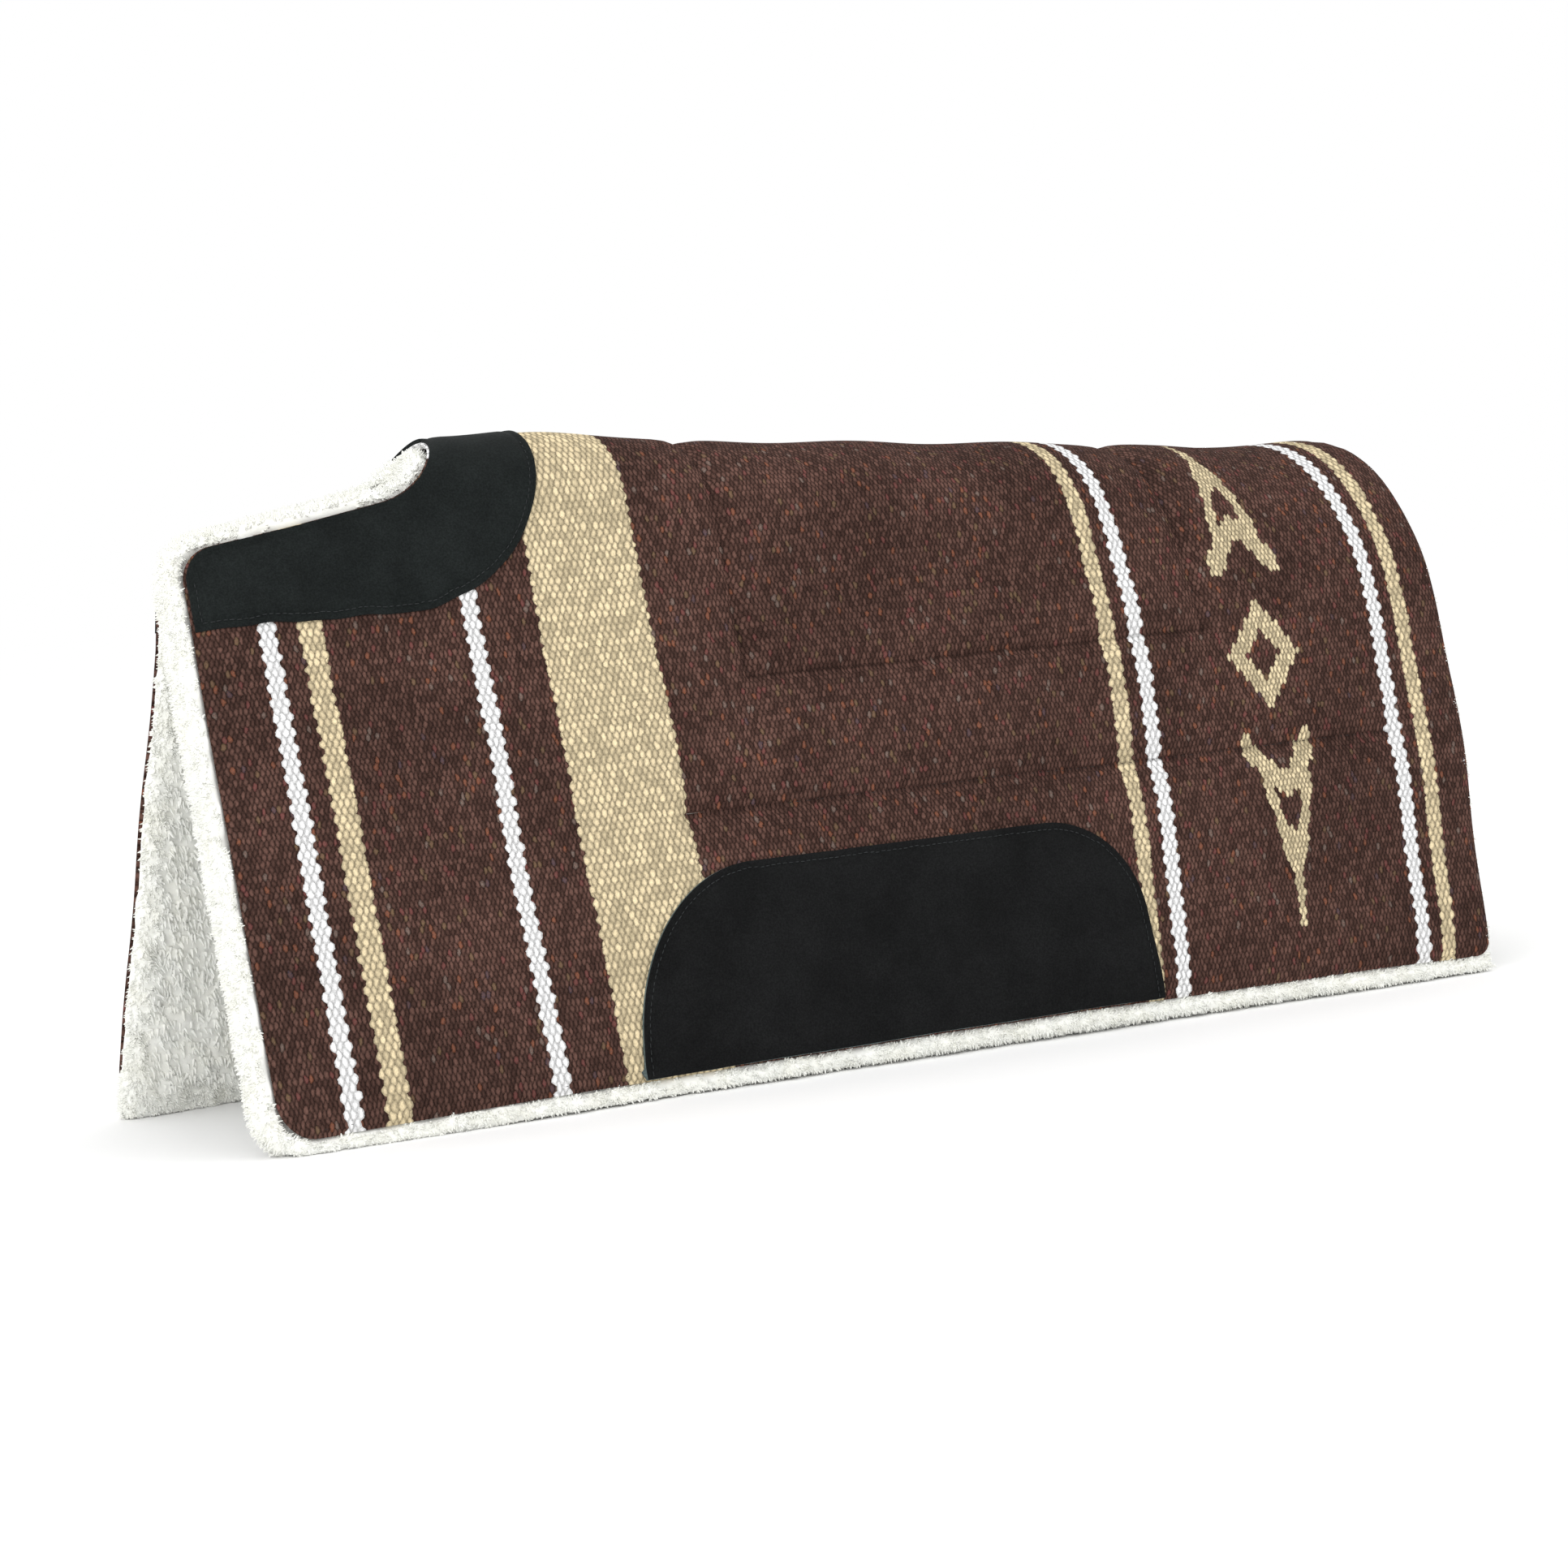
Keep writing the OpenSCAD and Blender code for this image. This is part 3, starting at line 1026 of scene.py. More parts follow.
@dataclass(frozen=True)
class RugWeave:
    """Weft-faced wool weave: rows of long beads, staggered, with stripes and motifs made bead by bead,
    painted shade in the gaps between beads, a painted highlight on each bead's middle and painted shade along
    the quilting.
    """

    bead_u: float = 2.7 * MM
    bead_v: float = 3.5 * MM
    thick_u: float = 3.8 * MM
    thick_v: float = 4.2 * MM
    thick_shift: float = 0.35 * MM
    drift_u: float = 2.4 * MM
    drift_v: float = 3.0 * MM
    stray: float = 2.4 * MM
    # painted shade between the beads: the darkest share of the yarn's colour left in the gaps, raised on
    # white and tan beads
    gap_floor: float = 0.13
    gap_white: float = 0.42
    gap_tan: float = 0.16
    brown_spread: tuple[float, float] = (0.6, 1.45)
    tan_spread: tuple[float, float] = (0.78, 1.2)
    white_spread: tuple[float, float] = (0.94, 1.06)
    brown: tuple[float, float, float, float] = (0.102, 0.0535, 0.0425, 1)
    tan: tuple[float, float, float, float] = (0.70, 0.58, 0.37, 1)
    white: tuple[float, float, float, float] = (0.93, 0.93, 0.93, 1)
    stripes: tuple[Stripe, ...] = (
        Stripe(40.5 * MM, 9.8 * MM, True), Stripe(64.5 * MM, 12.2 * MM, False),
        Stripe(157.5 * MM, 9.8 * MM, True), Stripe(229.5 * MM, 65 * MM, False),
        Stripe(550.5 * MM, 9.2 * MM, False), Stripe(570 * MM, 8.4 * MM, True),
        Stripe(738.7 * MM, 8.8 * MM, True), Stripe(757.6 * MM, 9.0 * MM, False))
    motif_u: float = 655 * MM
    motif_v: float = 185.5 * MM

    def build(self) -> bpy.types.Material:
        """Makes the woven finish.

        Returns:
            The cover's material.
        """
        n = Nodes("woven_wool")
        u, v = n.flat()
        spot = n.combine(u, v, 0.0)
        u_w, v_w = self._wander(n, u, v)
        fine = self._beads(n, u_w, v_w, self.bead_u, self.bead_v)
        thick = self._beads(n, n.math("ADD", u_w, self.thick_shift), v_w, self.thick_u, self.thick_v)
        is_white = self._stripe_mask(n, thick[1], True)
        in_stripe = n.math("MAXIMUM", is_white, self._stripe_mask(n, thick[1], False))
        bead, cu, cv, pick = [self._choose(n, in_stripe, a, b) for a, b in zip(thick, fine)]
        cell = n.combine(n.math("MULTIPLY", cu, 1000.0), n.math("MULTIPLY", cv, 1000.0), pick)
        value, colour = n.random(cell)
        fibre = n.noise(n.combine(n.math("MULTIPLY", u, 2.4), v, 0.0), 900, 3, 0.7)
        body = self._body_colour(n, value, colour, fibre, n.noise(spot, 9, 2))
        is_tan = n.math("MAXIMUM", self._stripe_mask(n, cu, False), self._motif(n, cu, cv))
        woven = n.mix(is_tan, body, self._yarn(n, self.tan, value, fibre, self.tan_spread))
        woven = n.mix(is_white, woven, self._yarn(n, self.white, value, fibre, self.white_spread))
        # painted shade in the gaps between beads and a painted highlight on each bead's middle, then the
        # painted shade along the quilting
        floor = n.math("ADD", self.gap_floor, n.math("MULTIPLY_ADD", is_white, self.gap_white,
                                                     n.math("MULTIPLY", is_tan, self.gap_tan)))
        gap = n.math("MULTIPLY", n.ramp(bead, 0.08, 0.52, floor, 0.97), n.ramp(bead, 0.5, 0.95, 1.0, 1.12))
        gap = n.math("MULTIPLY", gap, self._sewn_shade(n, u, v))
        tall = n.math("MULTIPLY_ADD", n.math("SUBTRACT", value, 0.5), 0.25, bead)
        coarse = n.bump(n.ramp(tall, 0.1, 1.0), 1.0, 1.5 * MM)
        return n.finish(n.scaled(woven, gap), 0.95, n.bump(fibre, 0.5, 0.25 * MM, coarse), specular=0.06)

    def _wander(self, n: Nodes, u: Socket, v: Socket) -> tuple[Socket, Socket]:
        """Flat u and v, moved so that the rows of beads aren't quite straight.

        Args:
            n: The material's nodes.
            u: Flat place along the spine.
            v: Flat place out from it, signed.

        Returns:
            The moved u and v.
        """
        moved = []
        for along, across, drift, at, stray_at, stray in ((u, v, self.drift_u, 0.0, 6.0, 210),
                                                          (v, u, self.drift_v, 3.0, 9.0, 190)):
            slow = n.math("SUBTRACT", n.noise(n.combine(along, across, at), 55, 2), 0.5)
            quick = n.math("SUBTRACT", n.noise(n.combine(along, across, stray_at), stray, 2), 0.5)
            slow = n.math("MULTIPLY_ADD", slow, drift, along)
            moved.append(n.math("MULTIPLY_ADD", quick, self.stray, slow))
        return moved[0], moved[1]

    def _beads(self, n: Nodes, u: Socket, v: Socket, wide: float, tall: float) -> tuple[Socket, ...]:
        """Closeness to the nearest bead's middle, that middle's u and v, and the set of rows it is in.

        Args:
            n: The material's nodes.
            u: Place across the rows.
            v: Place along the rows.
            wide: Width of a bead.
            tall: Half the spacing of beads in a row.

        Returns:
            The four values in that order.
        """
        far_a, cu_a, cv_a = self._lattice(n, u, v, wide, tall, 0.0)
        far_b, cu_b, cv_b = self._lattice(n, u, v, wide, tall, 0.5)
        pick = n.math("LESS_THAN", far_a, far_b)
        close = n.math("SUBTRACT", 1.0, n.math("MINIMUM", far_a, far_b))
        return close, self._choose(n, pick, cu_a, cu_b), self._choose(n, pick, cv_a, cv_b), pick

    @staticmethod
    def _lattice(n: Nodes, u: Socket, v: Socket, wide: float, tall: float,
                 shift: float) -> tuple[Socket, ...]:
        """Distance to the nearest bead of one set of rows, and that bead's centre.

        Args:
            n: The material's nodes.
            u: Place across the rows.
            v: Place along the rows.
            wide: Width of a bead.
            tall: Half the spacing of beads in a row.
            shift: How far the rows are staggered, as a share of the spacing.

        Returns:
            The distance, and the middle's u and v.
        """
        x = n.math("SUBTRACT", n.math("DIVIDE", u, wide), shift)
        y = n.math("SUBTRACT", n.math("DIVIDE", v, 2 * tall), shift)
        cx, cy = n.math("ROUND", x), n.math("ROUND", y)
        dx = n.math("ABSOLUTE", n.math("SUBTRACT", x, cx))
        dy = n.math("ABSOLUTE", n.math("SUBTRACT", y, cy))
        lens = n.math("ADD", n.math("POWER", n.math("MULTIPLY", dx, 1.75), 1.9),
                      n.math("POWER", n.math("MULTIPLY", dy, 2.6), 2.0))
        centre_u = n.math("MULTIPLY", n.math("ADD", cx, shift), wide)
        centre_v = n.math("MULTIPLY", n.math("ADD", cy, shift), 2 * tall)
        return lens, centre_u, centre_v

    @staticmethod
    def _choose(n: Nodes, pick: Socket, a: Socket, b: Socket) -> Socket:
        """Value a where pick is 1, else b."""
        return n.math("ADD", n.math("MULTIPLY", pick, a),
                      n.math("MULTIPLY", n.math("SUBTRACT", 1.0, pick), b))

    def _body_colour(self, n: Nodes, value: Socket, colour: Socket, fibre: Socket,
                     patch: Socket) -> Socket:
        """Brown yarn with odd beads of rust, wine, grey, navy and moss.

        Args:
            n: The material's nodes.
            value: The bead's own value from 0 to 1.
            colour: The bead's own colour, for the dice.
            fibre: Noise along the fibres.
            patch: Slow noise over the pad.

        Returns:
            The colour.
        """
        base = self._yarn(n, self.brown, value, fibre, self.brown_spread)
        split = n.add("ShaderNodeSeparateColor")
        n.plug(split.inputs[0], colour)
        dice = split.outputs[0]
        tuft = n.ramp(fibre, 0.38, 0.62, 0.1, 0.75)
        flecks = ((0.935, 0.958, (0.24, 0.075, 0.032, 1)), (0.90, 0.935, (0.15, 0.035, 0.038, 1)),
                  (0.958, 0.972, (0.17, 0.15, 0.13, 1)), (0.972, 0.979, (0.03, 0.035, 0.06, 1)),
                  (0.979, 1.01, (0.135, 0.10, 0.045, 1)))
        for low, high, tint in flecks:
            inside = n.math("MULTIPLY", n.math("GREATER_THAN", dice, low), n.math("LESS_THAN", dice, high))
            base = n.mix(n.math("MULTIPLY", inside, tuft), base, tint)
        return n.scaled(base, n.ramp(patch, 0.35, 0.7, 0.86, 1.16))

    @staticmethod
    def _sewn_shade(n: Nodes, u: Socket, v: Socket) -> Socket:
        """Darkening along the quilting, where the pile is pulled in.

        Args:
            n: The material's nodes.
            u: Flat place along the spine.
            v: Flat place out from it, signed.

        Returns:
            The shade, 1 away from the quilting.
        """
        plan = QuiltPlan()
        shade = None
        for start, end in plan.lines():
            off = []
            for at, a, b in zip((u, n.math("ABSOLUTE", v)), start, end):
                from_middle = n.math("ABSOLUTE", n.math("SUBTRACT", at, (a + b) / 2))
                off.append(n.math("SUBTRACT", from_middle, abs(b - a) / 2))
            far = n.math("MAXIMUM", n.math("MAXIMUM", *off), 0.0)
            run = n.ramp(far, 0.4 * MM, 2.2 * MM, 0.72, 1.0)
            shade = run if shade is None else n.math("MULTIPLY", shade, run)
        return shade

    @staticmethod
    def _yarn(n: Nodes, colour: Feed, value: Socket, fibre: Socket,
              spread: tuple[float, float]) -> Socket:
        """A yarn colour that varies from bead to bead and along its fibres."""
        return n.scaled(colour, n.math("MULTIPLY", n.ramp(value, 0.0, 1.0, *spread, smooth=False),
                                       n.ramp(fibre, 0.3, 0.75, 0.78, 1.2)))

    def _stripe_mask(self, n: Nodes, cu: Socket, white: bool) -> Socket:
        """1 on beads that lie in the white or the tan stripes.

        Args:
            n: The material's nodes.
            cu: The bead's middle along the spine.
            white: Whether the white stripes are meant.

        Returns:
            The mask.
        """
        total = None
        for stripe in self.stripes:
            if stripe.white is white:
                inside = n.math("COMPARE", cu, stripe.centre, stripe.width / 2)
                total = inside if total is None else n.math("MAXIMUM", total, inside)
        return total

    def _motif(self, n: Nodes, cu: Socket, cv: Socket) -> Socket:
        """1 on beads of the hollow diamond and of the two hollow arrows that point away from it.

        Args:
            n: The material's nodes.
            cu: The bead's middle along the spine.
            cv: The bead's middle out from the spine, signed.

        Returns:
            The mask.
        """
        p = n.math("DIVIDE", n.math("ABSOLUTE", n.math("SUBTRACT", cu, self.motif_u)), MM)
        q_signed = n.math("SUBTRACT", n.math("ABSOLUTE", cv), self.motif_v)
        q = n.math("DIVIDE", n.math("ABSOLUTE", q_signed), MM)
        diamond = self._diamond(n, p, q, 25.0, 34.0)
        hollow = self._diamond(n, p, q, 12.0, 15.0)
        gem = n.math("MULTIPLY", diamond, n.math("SUBTRACT", 1.0, hollow))
        outer = self._profile(n, q, ((50, 24), (62, 24), (73, 16), (84, 16), (98, 13), (114, 9.5),
                                     (127, 7), (137, 3.2), (165, 1.6)))
        inner = self._profile(n, q, ((50, 17), (62, 9.5), (74, 0.0), (166, 0.0)))
        core = self._profile(n, q, ((82, 0.0), (84, 9.0), (98, 6.4), (111, 0.0)))
        cleft = n.math("LESS_THAN", n.math("MULTIPLY_ADD", p, 0.6, q), 89.0)
        arrow = n.math("MULTIPLY", n.math("LESS_THAN", p, outer), n.math("GREATER_THAN", p, inner))
        arrow = n.math("MULTIPLY", arrow, n.math("MAXIMUM", n.math("GREATER_THAN", p, core), cleft))
        for past in (n.math("GREATER_THAN", q, 49.0), n.math("LESS_THAN", q, 166.0)):
            arrow = n.math("MULTIPLY", arrow, past)
        return n.math("MAXIMUM", gem, arrow)

    @staticmethod
    def _diamond(n: Nodes, p: Socket, q: Socket, half_u: float, half_v: float) -> Socket:
        """1 inside a diamond."""
        return n.math("LESS_THAN", n.math("ADD", n.math("DIVIDE", p, half_u),
                                          n.math("DIVIDE", q, half_v)), 1.0)

    @staticmethod
    def _profile(n: Nodes, q: Socket, points: tuple[tuple[float, float], ...]) -> Socket:
        """A half width in millimetres that follows straight runs between (q, width) points.

        Args:
            n: The material's nodes.
            q: Place along the motif, in millimetres.
            points: Places with their widths, in order.

        Returns:
            The width at q.
        """
        total = None
        for (q0, w0), (q1, w1) in zip(points, points[1:]):
            run = n.ramp(q, q0, q1, w0 if total is None else 0.0, w1 if total is None else w1 - w0, False)
            total = run if total is None else n.math("ADD", total, run)
        return total


@dataclass(frozen=True)
class Suede:
    """Napped suede, dull and nearly black, with painted shade that makes it darkest near the hem, and a paler
    cut edge that is partly raw leather and partly a painted highlight.
    """

    colour: tuple[float, float, float, float] = (0.0105, 0.0128, 0.0125, 1)
    # painted shade: the darker colour that the face takes low down, near the hem
    low: tuple[float, float, float, float] = (0.0078, 0.0082, 0.0084, 1)
    shade_band: tuple[float, float] = (0.13, 0.20)
    # pale cut edge: partly raw leather's own colour, partly a painted highlight
    edge: tuple[float, float, float, float] = (0.10, 0.13, 0.13, 1)

    def build(self, cut: bool) -> bpy.types.Material:
        """Makes the face's finish, or the cut edge's.

        Args:
            cut: Whether the cut edge is meant.

        Returns:
            The material.
        """
        n = Nodes("suede_cut" if cut else "suede")
        spot = n.place()
        nap = n.noise(spot, 900, 4, 0.7)
        cloud = n.noise(spot, 28, 4, 0.6)
        grain = n.noise(spot, 260, 3, 0.6)
        level = n.math("MULTIPLY", n.ramp(cloud, 0.3, 0.7, 0.82, 1.25), n.ramp(nap, 0.3, 0.75, 0.7, 1.5))
        # painted shade: below the shade band the face takes the darker low colour, above it its own colour
        height = n.ramp(n.split(spot)[2], *self.shade_band)
        # the cut edge's pale tint is partly raw leather and partly a painted highlight
        tint = self.edge if cut else n.mix(height, self.low, self.colour)
        coarse = n.bump(grain, 0.35, 0.35 * MM)
        return n.finish(n.scaled(tint, level), 0.92, n.bump(nap, 0.6, 0.2 * MM, coarse), specular=0.06,
                        sheen=0.03)


@dataclass(frozen=True)
class Fleece:
    """Deep cream plush."""

    colour: tuple[float, float, float, float] = (0.97, 0.975, 0.93, 1)
    shadow: tuple[float, float, float, float] = (0.96, 0.96, 0.90, 1)

    def build(self) -> bpy.types.Material:
        """Makes the pile's finish.

        Returns:
            The material.
        """
        n = Nodes("fleece")
        spot = n.place()
        clump = n.noise(spot, 60, 4, 0.6)
        fluff = n.noise(spot, 420, 4, 0.7)
        tint = n.mix(n.ramp(clump, 0.35, 0.62), self.shadow, self.colour)
        level = n.ramp(fluff, 0.25, 0.75, 0.96, 1.03)
        coarse = n.bump(clump, 0.2, 1.5 * MM)
        return n.finish(n.scaled(tint, level), 1.0, n.bump(fluff, 0.2, 0.4 * MM, coarse), specular=0.1,
                        sheen=0.3, sheen_rough=0.8)


@dataclass(frozen=True)
class Felt:
    """Pressed grey felt of the core."""

    colour: tuple[float, float, float, float] = (0.30, 0.29, 0.26, 1)

    def build(self) -> bpy.types.Material:
        """Makes the felt's finish.

        Returns:
            The material.
        """
        n = Nodes("felt")
        spot = n.place()
        hair = n.noise(spot, 700, 5, 0.75)
        fleck = n.noise(spot, 150, 3, 0.6)
        level = n.math("MULTIPLY", n.ramp(hair, 0.25, 0.75, 0.7, 1.25), n.ramp(fleck, 0.3, 0.7, 0.85, 1.1))
        return n.finish(n.scaled(self.colour, level), 1.0, n.bump(hair, 0.6, 0.4 * MM))


@dataclass(frozen=True)
class Thread:
    """Twisted sewing thread."""

    name: str
    colour: tuple[float, float, float, float]

    def build(self) -> bpy.types.Material:
        """Makes the thread's finish.

        Returns:
            The material.
        """
        n = Nodes(self.name)
        spot = n.place()
        twist = n.noise(spot, 1600, 2, 0.5)
        level = n.ramp(twist, 0.3, 0.7, 0.65, 1.3)
        return n.finish(n.scaled(self.colour, level), 0.7, n.bump(twist, 0.6, 0.15 * MM), specular=0.3)


@dataclass(frozen=True)
class Finishes:
    """Every finish on the pad, made once."""

    woven: bpy.types.Material
    suede: bpy.types.Material
    suede_cut: bpy.types.Material
    fleece: bpy.types.Material
    felt: bpy.types.Material
    suede_thread: bpy.types.Material
    quilt_thread: bpy.types.Material


def make_finishes() -> Finishes:
    """Builds the finishes.

    Returns:
        The finishes, each with one material.
    """
    return Finishes(
        woven=RugWeave().build(), suede=Suede().build(False), suede_cut=Suede().build(True),
        fleece=Fleece().build(), felt=Felt().build(),
        suede_thread=Thread("suede_thread", (0.02, 0.023, 0.024, 1)).build(),
        quilt_thread=Thread("quilt_thread", (0.022, 0.013, 0.011, 1)).build())


# ---- the pad's pieces ----


@dataclass
class Layers:
    """Sizes of the pad's layers, and what all the pieces share."""

    fold: Fold
    outline: Outline
    drape: Drape
    puff: CoverPuff
    finishes: Finishes
    cover: float = 4 * MM
    core: float = 6 * MM
    fleece: float = 12 * MM
    suede: float = 1.6 * MM

    def surface(self, u: np.ndarray, v: np.ndarray, side: Side) -> np.ndarray:
        """Outward shift of the cover's face at flat points."""
        return self.drape.height(u, v * side.value) + self.puff.height(u, v * side.value)


@dataclass
class WovenCover:
    """The woven cover, one cloth that is split at the ridge for its two halves."""

    pad: Layers
    step: float = 3.3 * MM
    rolled_edge: float = 7 * MM
    rolled_in: float = 1.6 * MM
    thinner: float = 0.5 * MM

    def build(self, side: Side) -> bpy.types.Object:
        """Makes one half of the cover.

        Args:
            side: The half to make.

        Returns:
            The piece.
        """
        pad = self.pad
        panel = Panel(0.0, pad.fold.length, pad.outline.notch(0.0), pad.outline.hem(0.0), self.step)
        bm, room = panel.grid()
        name_uv(bm, side)
        flat = np.array([v.co for v in bm.verts])
        rise = pad.surface(flat[:, 0], flat[:, 1], side)
        room[:, 2] = pad.outline.notch_room(flat, 0.0)
        edge = climb(room.min(axis=1), 0.0, self.rolled_edge)
        rolled = self.rolled_in * (1.0 - np.sqrt(1.0 - (1.0 - edge) ** 2))
        lay_on(bm, pad.fold, side, rolled - rise)
        obj = to_object(bm, f"{side.label}_woven_cover", pad.finishes.woven)
        thicken(obj, pad.cover - self.thinner, 0.9 * MM)
        bend_with(obj)
        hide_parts(f"{side.label}_cover", "spine_cover")
        return obj


@dataclass
class FeltCore:
    """The felt between the cover and the fleece."""

    pad: Layers
    inset: float = 6 * MM

    def build(self, side: Side) -> bpy.types.Object:
        """Makes one half of the core.

        Args:
            side: The half to make.

        Returns:
            The piece.
        """
        pad = self.pad
        panel = Panel(self.inset, pad.fold.length - self.inset, pad.outline.notch(-self.inset),
                      pad.outline.hem(-self.inset), 8 * MM)
        bm, _ = panel.grid()
        flat = np.array([v.co for v in bm.verts])
        rise = pad.drape.height(flat[:, 0], flat[:, 1] * side.value)
        lay_on(bm, pad.fold, side, pad.cover + 0.8 * MM - rise)
        obj = to_object(bm, f"{side.label}_felt_core", pad.finishes.felt)
        thicken(obj, pad.core - 1.2 * MM, 0.8 * MM)
        bend_with(obj)
        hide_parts(f"{side.label}_core", "spine_core")
        return obj


@dataclass(frozen=True)
class Pile:
    """How the tufts stand on one part of the fleece."""

    spacing: float
    out: float
    down: float
    stray: float
    long: float
    wide: float


@dataclass
class FleeceLining:
    """The fleece: a plump sheet with lumps, and tufts that stand out of it."""

    pad: Layers
    lump: float = 0.8 * MM
    lumps: int = 34
    lump_sizes: tuple[float, float] = (9 * MM, 34 * MM)
    edge_round: float = 9 * MM
    roll: float = 6.0 * MM
    far_over: float = 3 * MM
    rear_over: float = 4 * MM
    roll_within: float = 15.5 * MM
    roll_run: float = 5 * MM
    step: float = 4 * MM
    clear: float = 0.4 * MM
    rim: float = 26 * MM
    reach: float = 6.5 * MM
    rim_pile: Pile = Pile(1.5 * MM, 1.0, 0.3, 0.32, 1.0, 1.0)
    face_pile: Pile = Pile(3.0 * MM, 0.36, 0.8, 0.24, 1.7, 1.5)
    tuft_long: tuple[float, float] = (1.6 * MM, 3.3 * MM)
    tuft_wide: tuple[float, float] = (1.1 * MM, 1.8 * MM)
    seed: int = 21

    def _lumps(self, u: np.ndarray, v: np.ndarray, side: Side, depth: float) -> np.ndarray:
        """Clumps of pile, as an outward shift.

        Args:
            u: Flat places along the spine.
            v: Flat places out from it.
            side: The half that they lie on.
            depth: Depth of the face, which sets the pattern.

        Returns:
            The shift at each place.
        """
        rng = random.Random(self.seed + side.value + int(depth * 1e4))
        total = ripples(rng, u, v, self.lumps, self.lump_sizes)
        return self.lump * total / math.sqrt(self.lumps / 2)

    def _body(self, side: Side) -> bmesh.types.BMesh:
        """The plump sheet on the flat, with its depth in z.

        Args:
            side: The half to make.

        Returns:
            The closed shape.
        """
        pad = self.pad
        over = pad.fold.over
        front = over if side is Side.LEFT else self.far_over
        panel = Panel(-front, pad.fold.length + self.rear_over, pad.outline.notch(over),
                      pad.outline.hem(over), self.step)
        bm, room = panel.grid()
        flat = np.array([v.co for v in bm.verts])
        room[:, 2] = pad.outline.notch_room(flat, over)
        near = climb(room.min(axis=1), 0.0, self.edge_round)
        plump = np.sqrt(1.0 - (1.0 - near) ** 2)
        rise = pad.drape.height(flat[:, 0], flat[:, 1] * side.value)
        top = pad.cover + pad.core
        middle = top + pad.fleece / 2
        count = len(bm.verts)
        made = bmesh.ops.extrude_face_region(bm, geom=bm.faces[:])
        bm.verts.ensure_lookup_table()
        bottoms = {v for v in made["geom"] if isinstance(v, bmesh.types.BMVert)}
        where = np.array([v.co for v in bm.verts])
        key = {(round(p[0], 7), round(p[1], 7)): i for i, p in enumerate(flat)}
        source = np.array([key[(round(p[0], 7), round(p[1], 7))] for p in where])
        under = np.array([v in bottoms for v in bm.verts])
        lumps = np.where(under, self._lumps(where[:, 0], where[:, 1], side, top + pad.fleece),
                         self._lumps(where[:, 0], where[:, 1], side, top))
        swell = plump[source]
        half = pad.fleece / 2 * np.maximum(swell, 0.1)
        sign = np.where(under, 1.0, -1.0)
        free = room.min(axis=1)[source]
        outside = climb(-free, -self.roll_within, self.roll_run)
        lifted = np.where(under, 0.0, self.roll * outside * climb(free, 0.0, self.roll_run))
        depth = middle - rise[source] + sign * (half + np.where(under, 1.0, outside) * lumps) - lifted
        for vert, d in zip(bm.verts, depth):
            vert.co.z = d
        log.info("fleece sheet: %d points on its face", count)
        return bm

    def build(self, side: Side) -> bpy.types.Object:
        """Makes one half of the lining with its pile.

        Args:
            side: The half to make.

        Returns:
            The piece.
        """
        pad = self.pad
        bm = self._body(side)
        bm.verts.ensure_lookup_table()
        depth = np.array([v.co.z for v in bm.verts])
        lay_on(bm, pad.fold, side, depth)
        bmesh.ops.recalc_face_normals(bm, faces=bm.faces[:])
        self._level_hem(bm)
        tufts = self._tufts(bm, side)
        bm.from_mesh(tufts)
        bpy.data.meshes.remove(tufts)
        obj = to_object(bm, f"{side.label}_fleece_lining", pad.finishes.fleece)
        bend_with(obj)
        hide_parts(f"{side.label}_fleece", "spine_fleece")
        return obj

    def _level_hem(self, bm: bmesh.types.BMesh) -> None:
        """Lets no point sink into what the pad stands on."""
        for vert in bm.verts:
            vert.co.z = max(vert.co.z, self.clear)

    def _tufts(self, bm: bmesh.types.BMesh, side: Side) -> bpy.types.Mesh:
        """Tapered tufts over the pile, thick at the edges and thin inside.

        Args:
            bm: The fleece's sheet in its place.
            side: The half that it belongs to.

        Returns:
            One mesh of all the tufts.
        """
        rng = np.random.default_rng(self.seed + side.value)
        bm.faces.ensure_lookup_table()
        centres = np.array([f.calc_center_median() for f in bm.faces])
        normals = np.array([f.normal for f in bm.faces])
        areas = np.array([f.calc_area() for f in bm.faces])
        corners = np.array([[v.co for v in (f.verts[0], f.verts[1], f.verts[2])] for f in bm.faces])
        hidden, rim = self._regions(centres, normals, side)
        kinds = np.array([astuple(self.face_pile), astuple(self.rim_pile)])
        density = np.where(hidden, 0.0, 1.0 / kinds[rim.astype(int), 0] ** 2)
        pick = np.repeat(np.arange(len(areas)), rng.poisson(areas * density))
        a, b = rng.random(len(pick)), rng.random(len(pick))
        base = corners[pick]
        spot = base[:, 0] + (base[:, 1] - base[:, 0]) * a[:, None] + (base[:, 2] - base[:, 1]) * b[:, None]
        _, out, down, stray, long, wide = kinds[rim[pick].astype(int)].T
        lean = out[:, None] * normals[pick] + down[:, None] * np.array([0.0, 0.0, -1.0])
        lean += rng.normal(0, 1.0, (len(pick), 3)) * stray[:, None]
        lean /= np.linalg.norm(lean, axis=1)[:, None]
        helper = np.cross(lean, rng.normal(0, 1, (len(pick), 3)))
        helper /= np.linalg.norm(helper, axis=1)[:, None]
        axes = np.stack([helper, np.cross(lean, helper), lean], axis=2)
        length = rng.uniform(*self.tuft_long, len(pick)) * long
        width = rng.uniform(*self.tuft_wide, len(pick)) * wide
        tip = spot[:, 2] + lean[:, 2] * length
        length = np.where(tip < 0.3 * MM, np.maximum(self.clear, length * 0.3), length)
        shape = bmesh.new()
        bmesh.ops.create_cone(shape, cap_ends=False, segments=4, radius1=0.55, radius2=0.12, depth=1.0,
                              matrix=Matrix.Translation((0, 0, 0.42)))
        mesh = Stamp(shape).copies(spot, axes, np.stack([width, width, length], axis=1))
        log.info("%s fleece: %d tufts", side.label, len(pick))
        return mesh

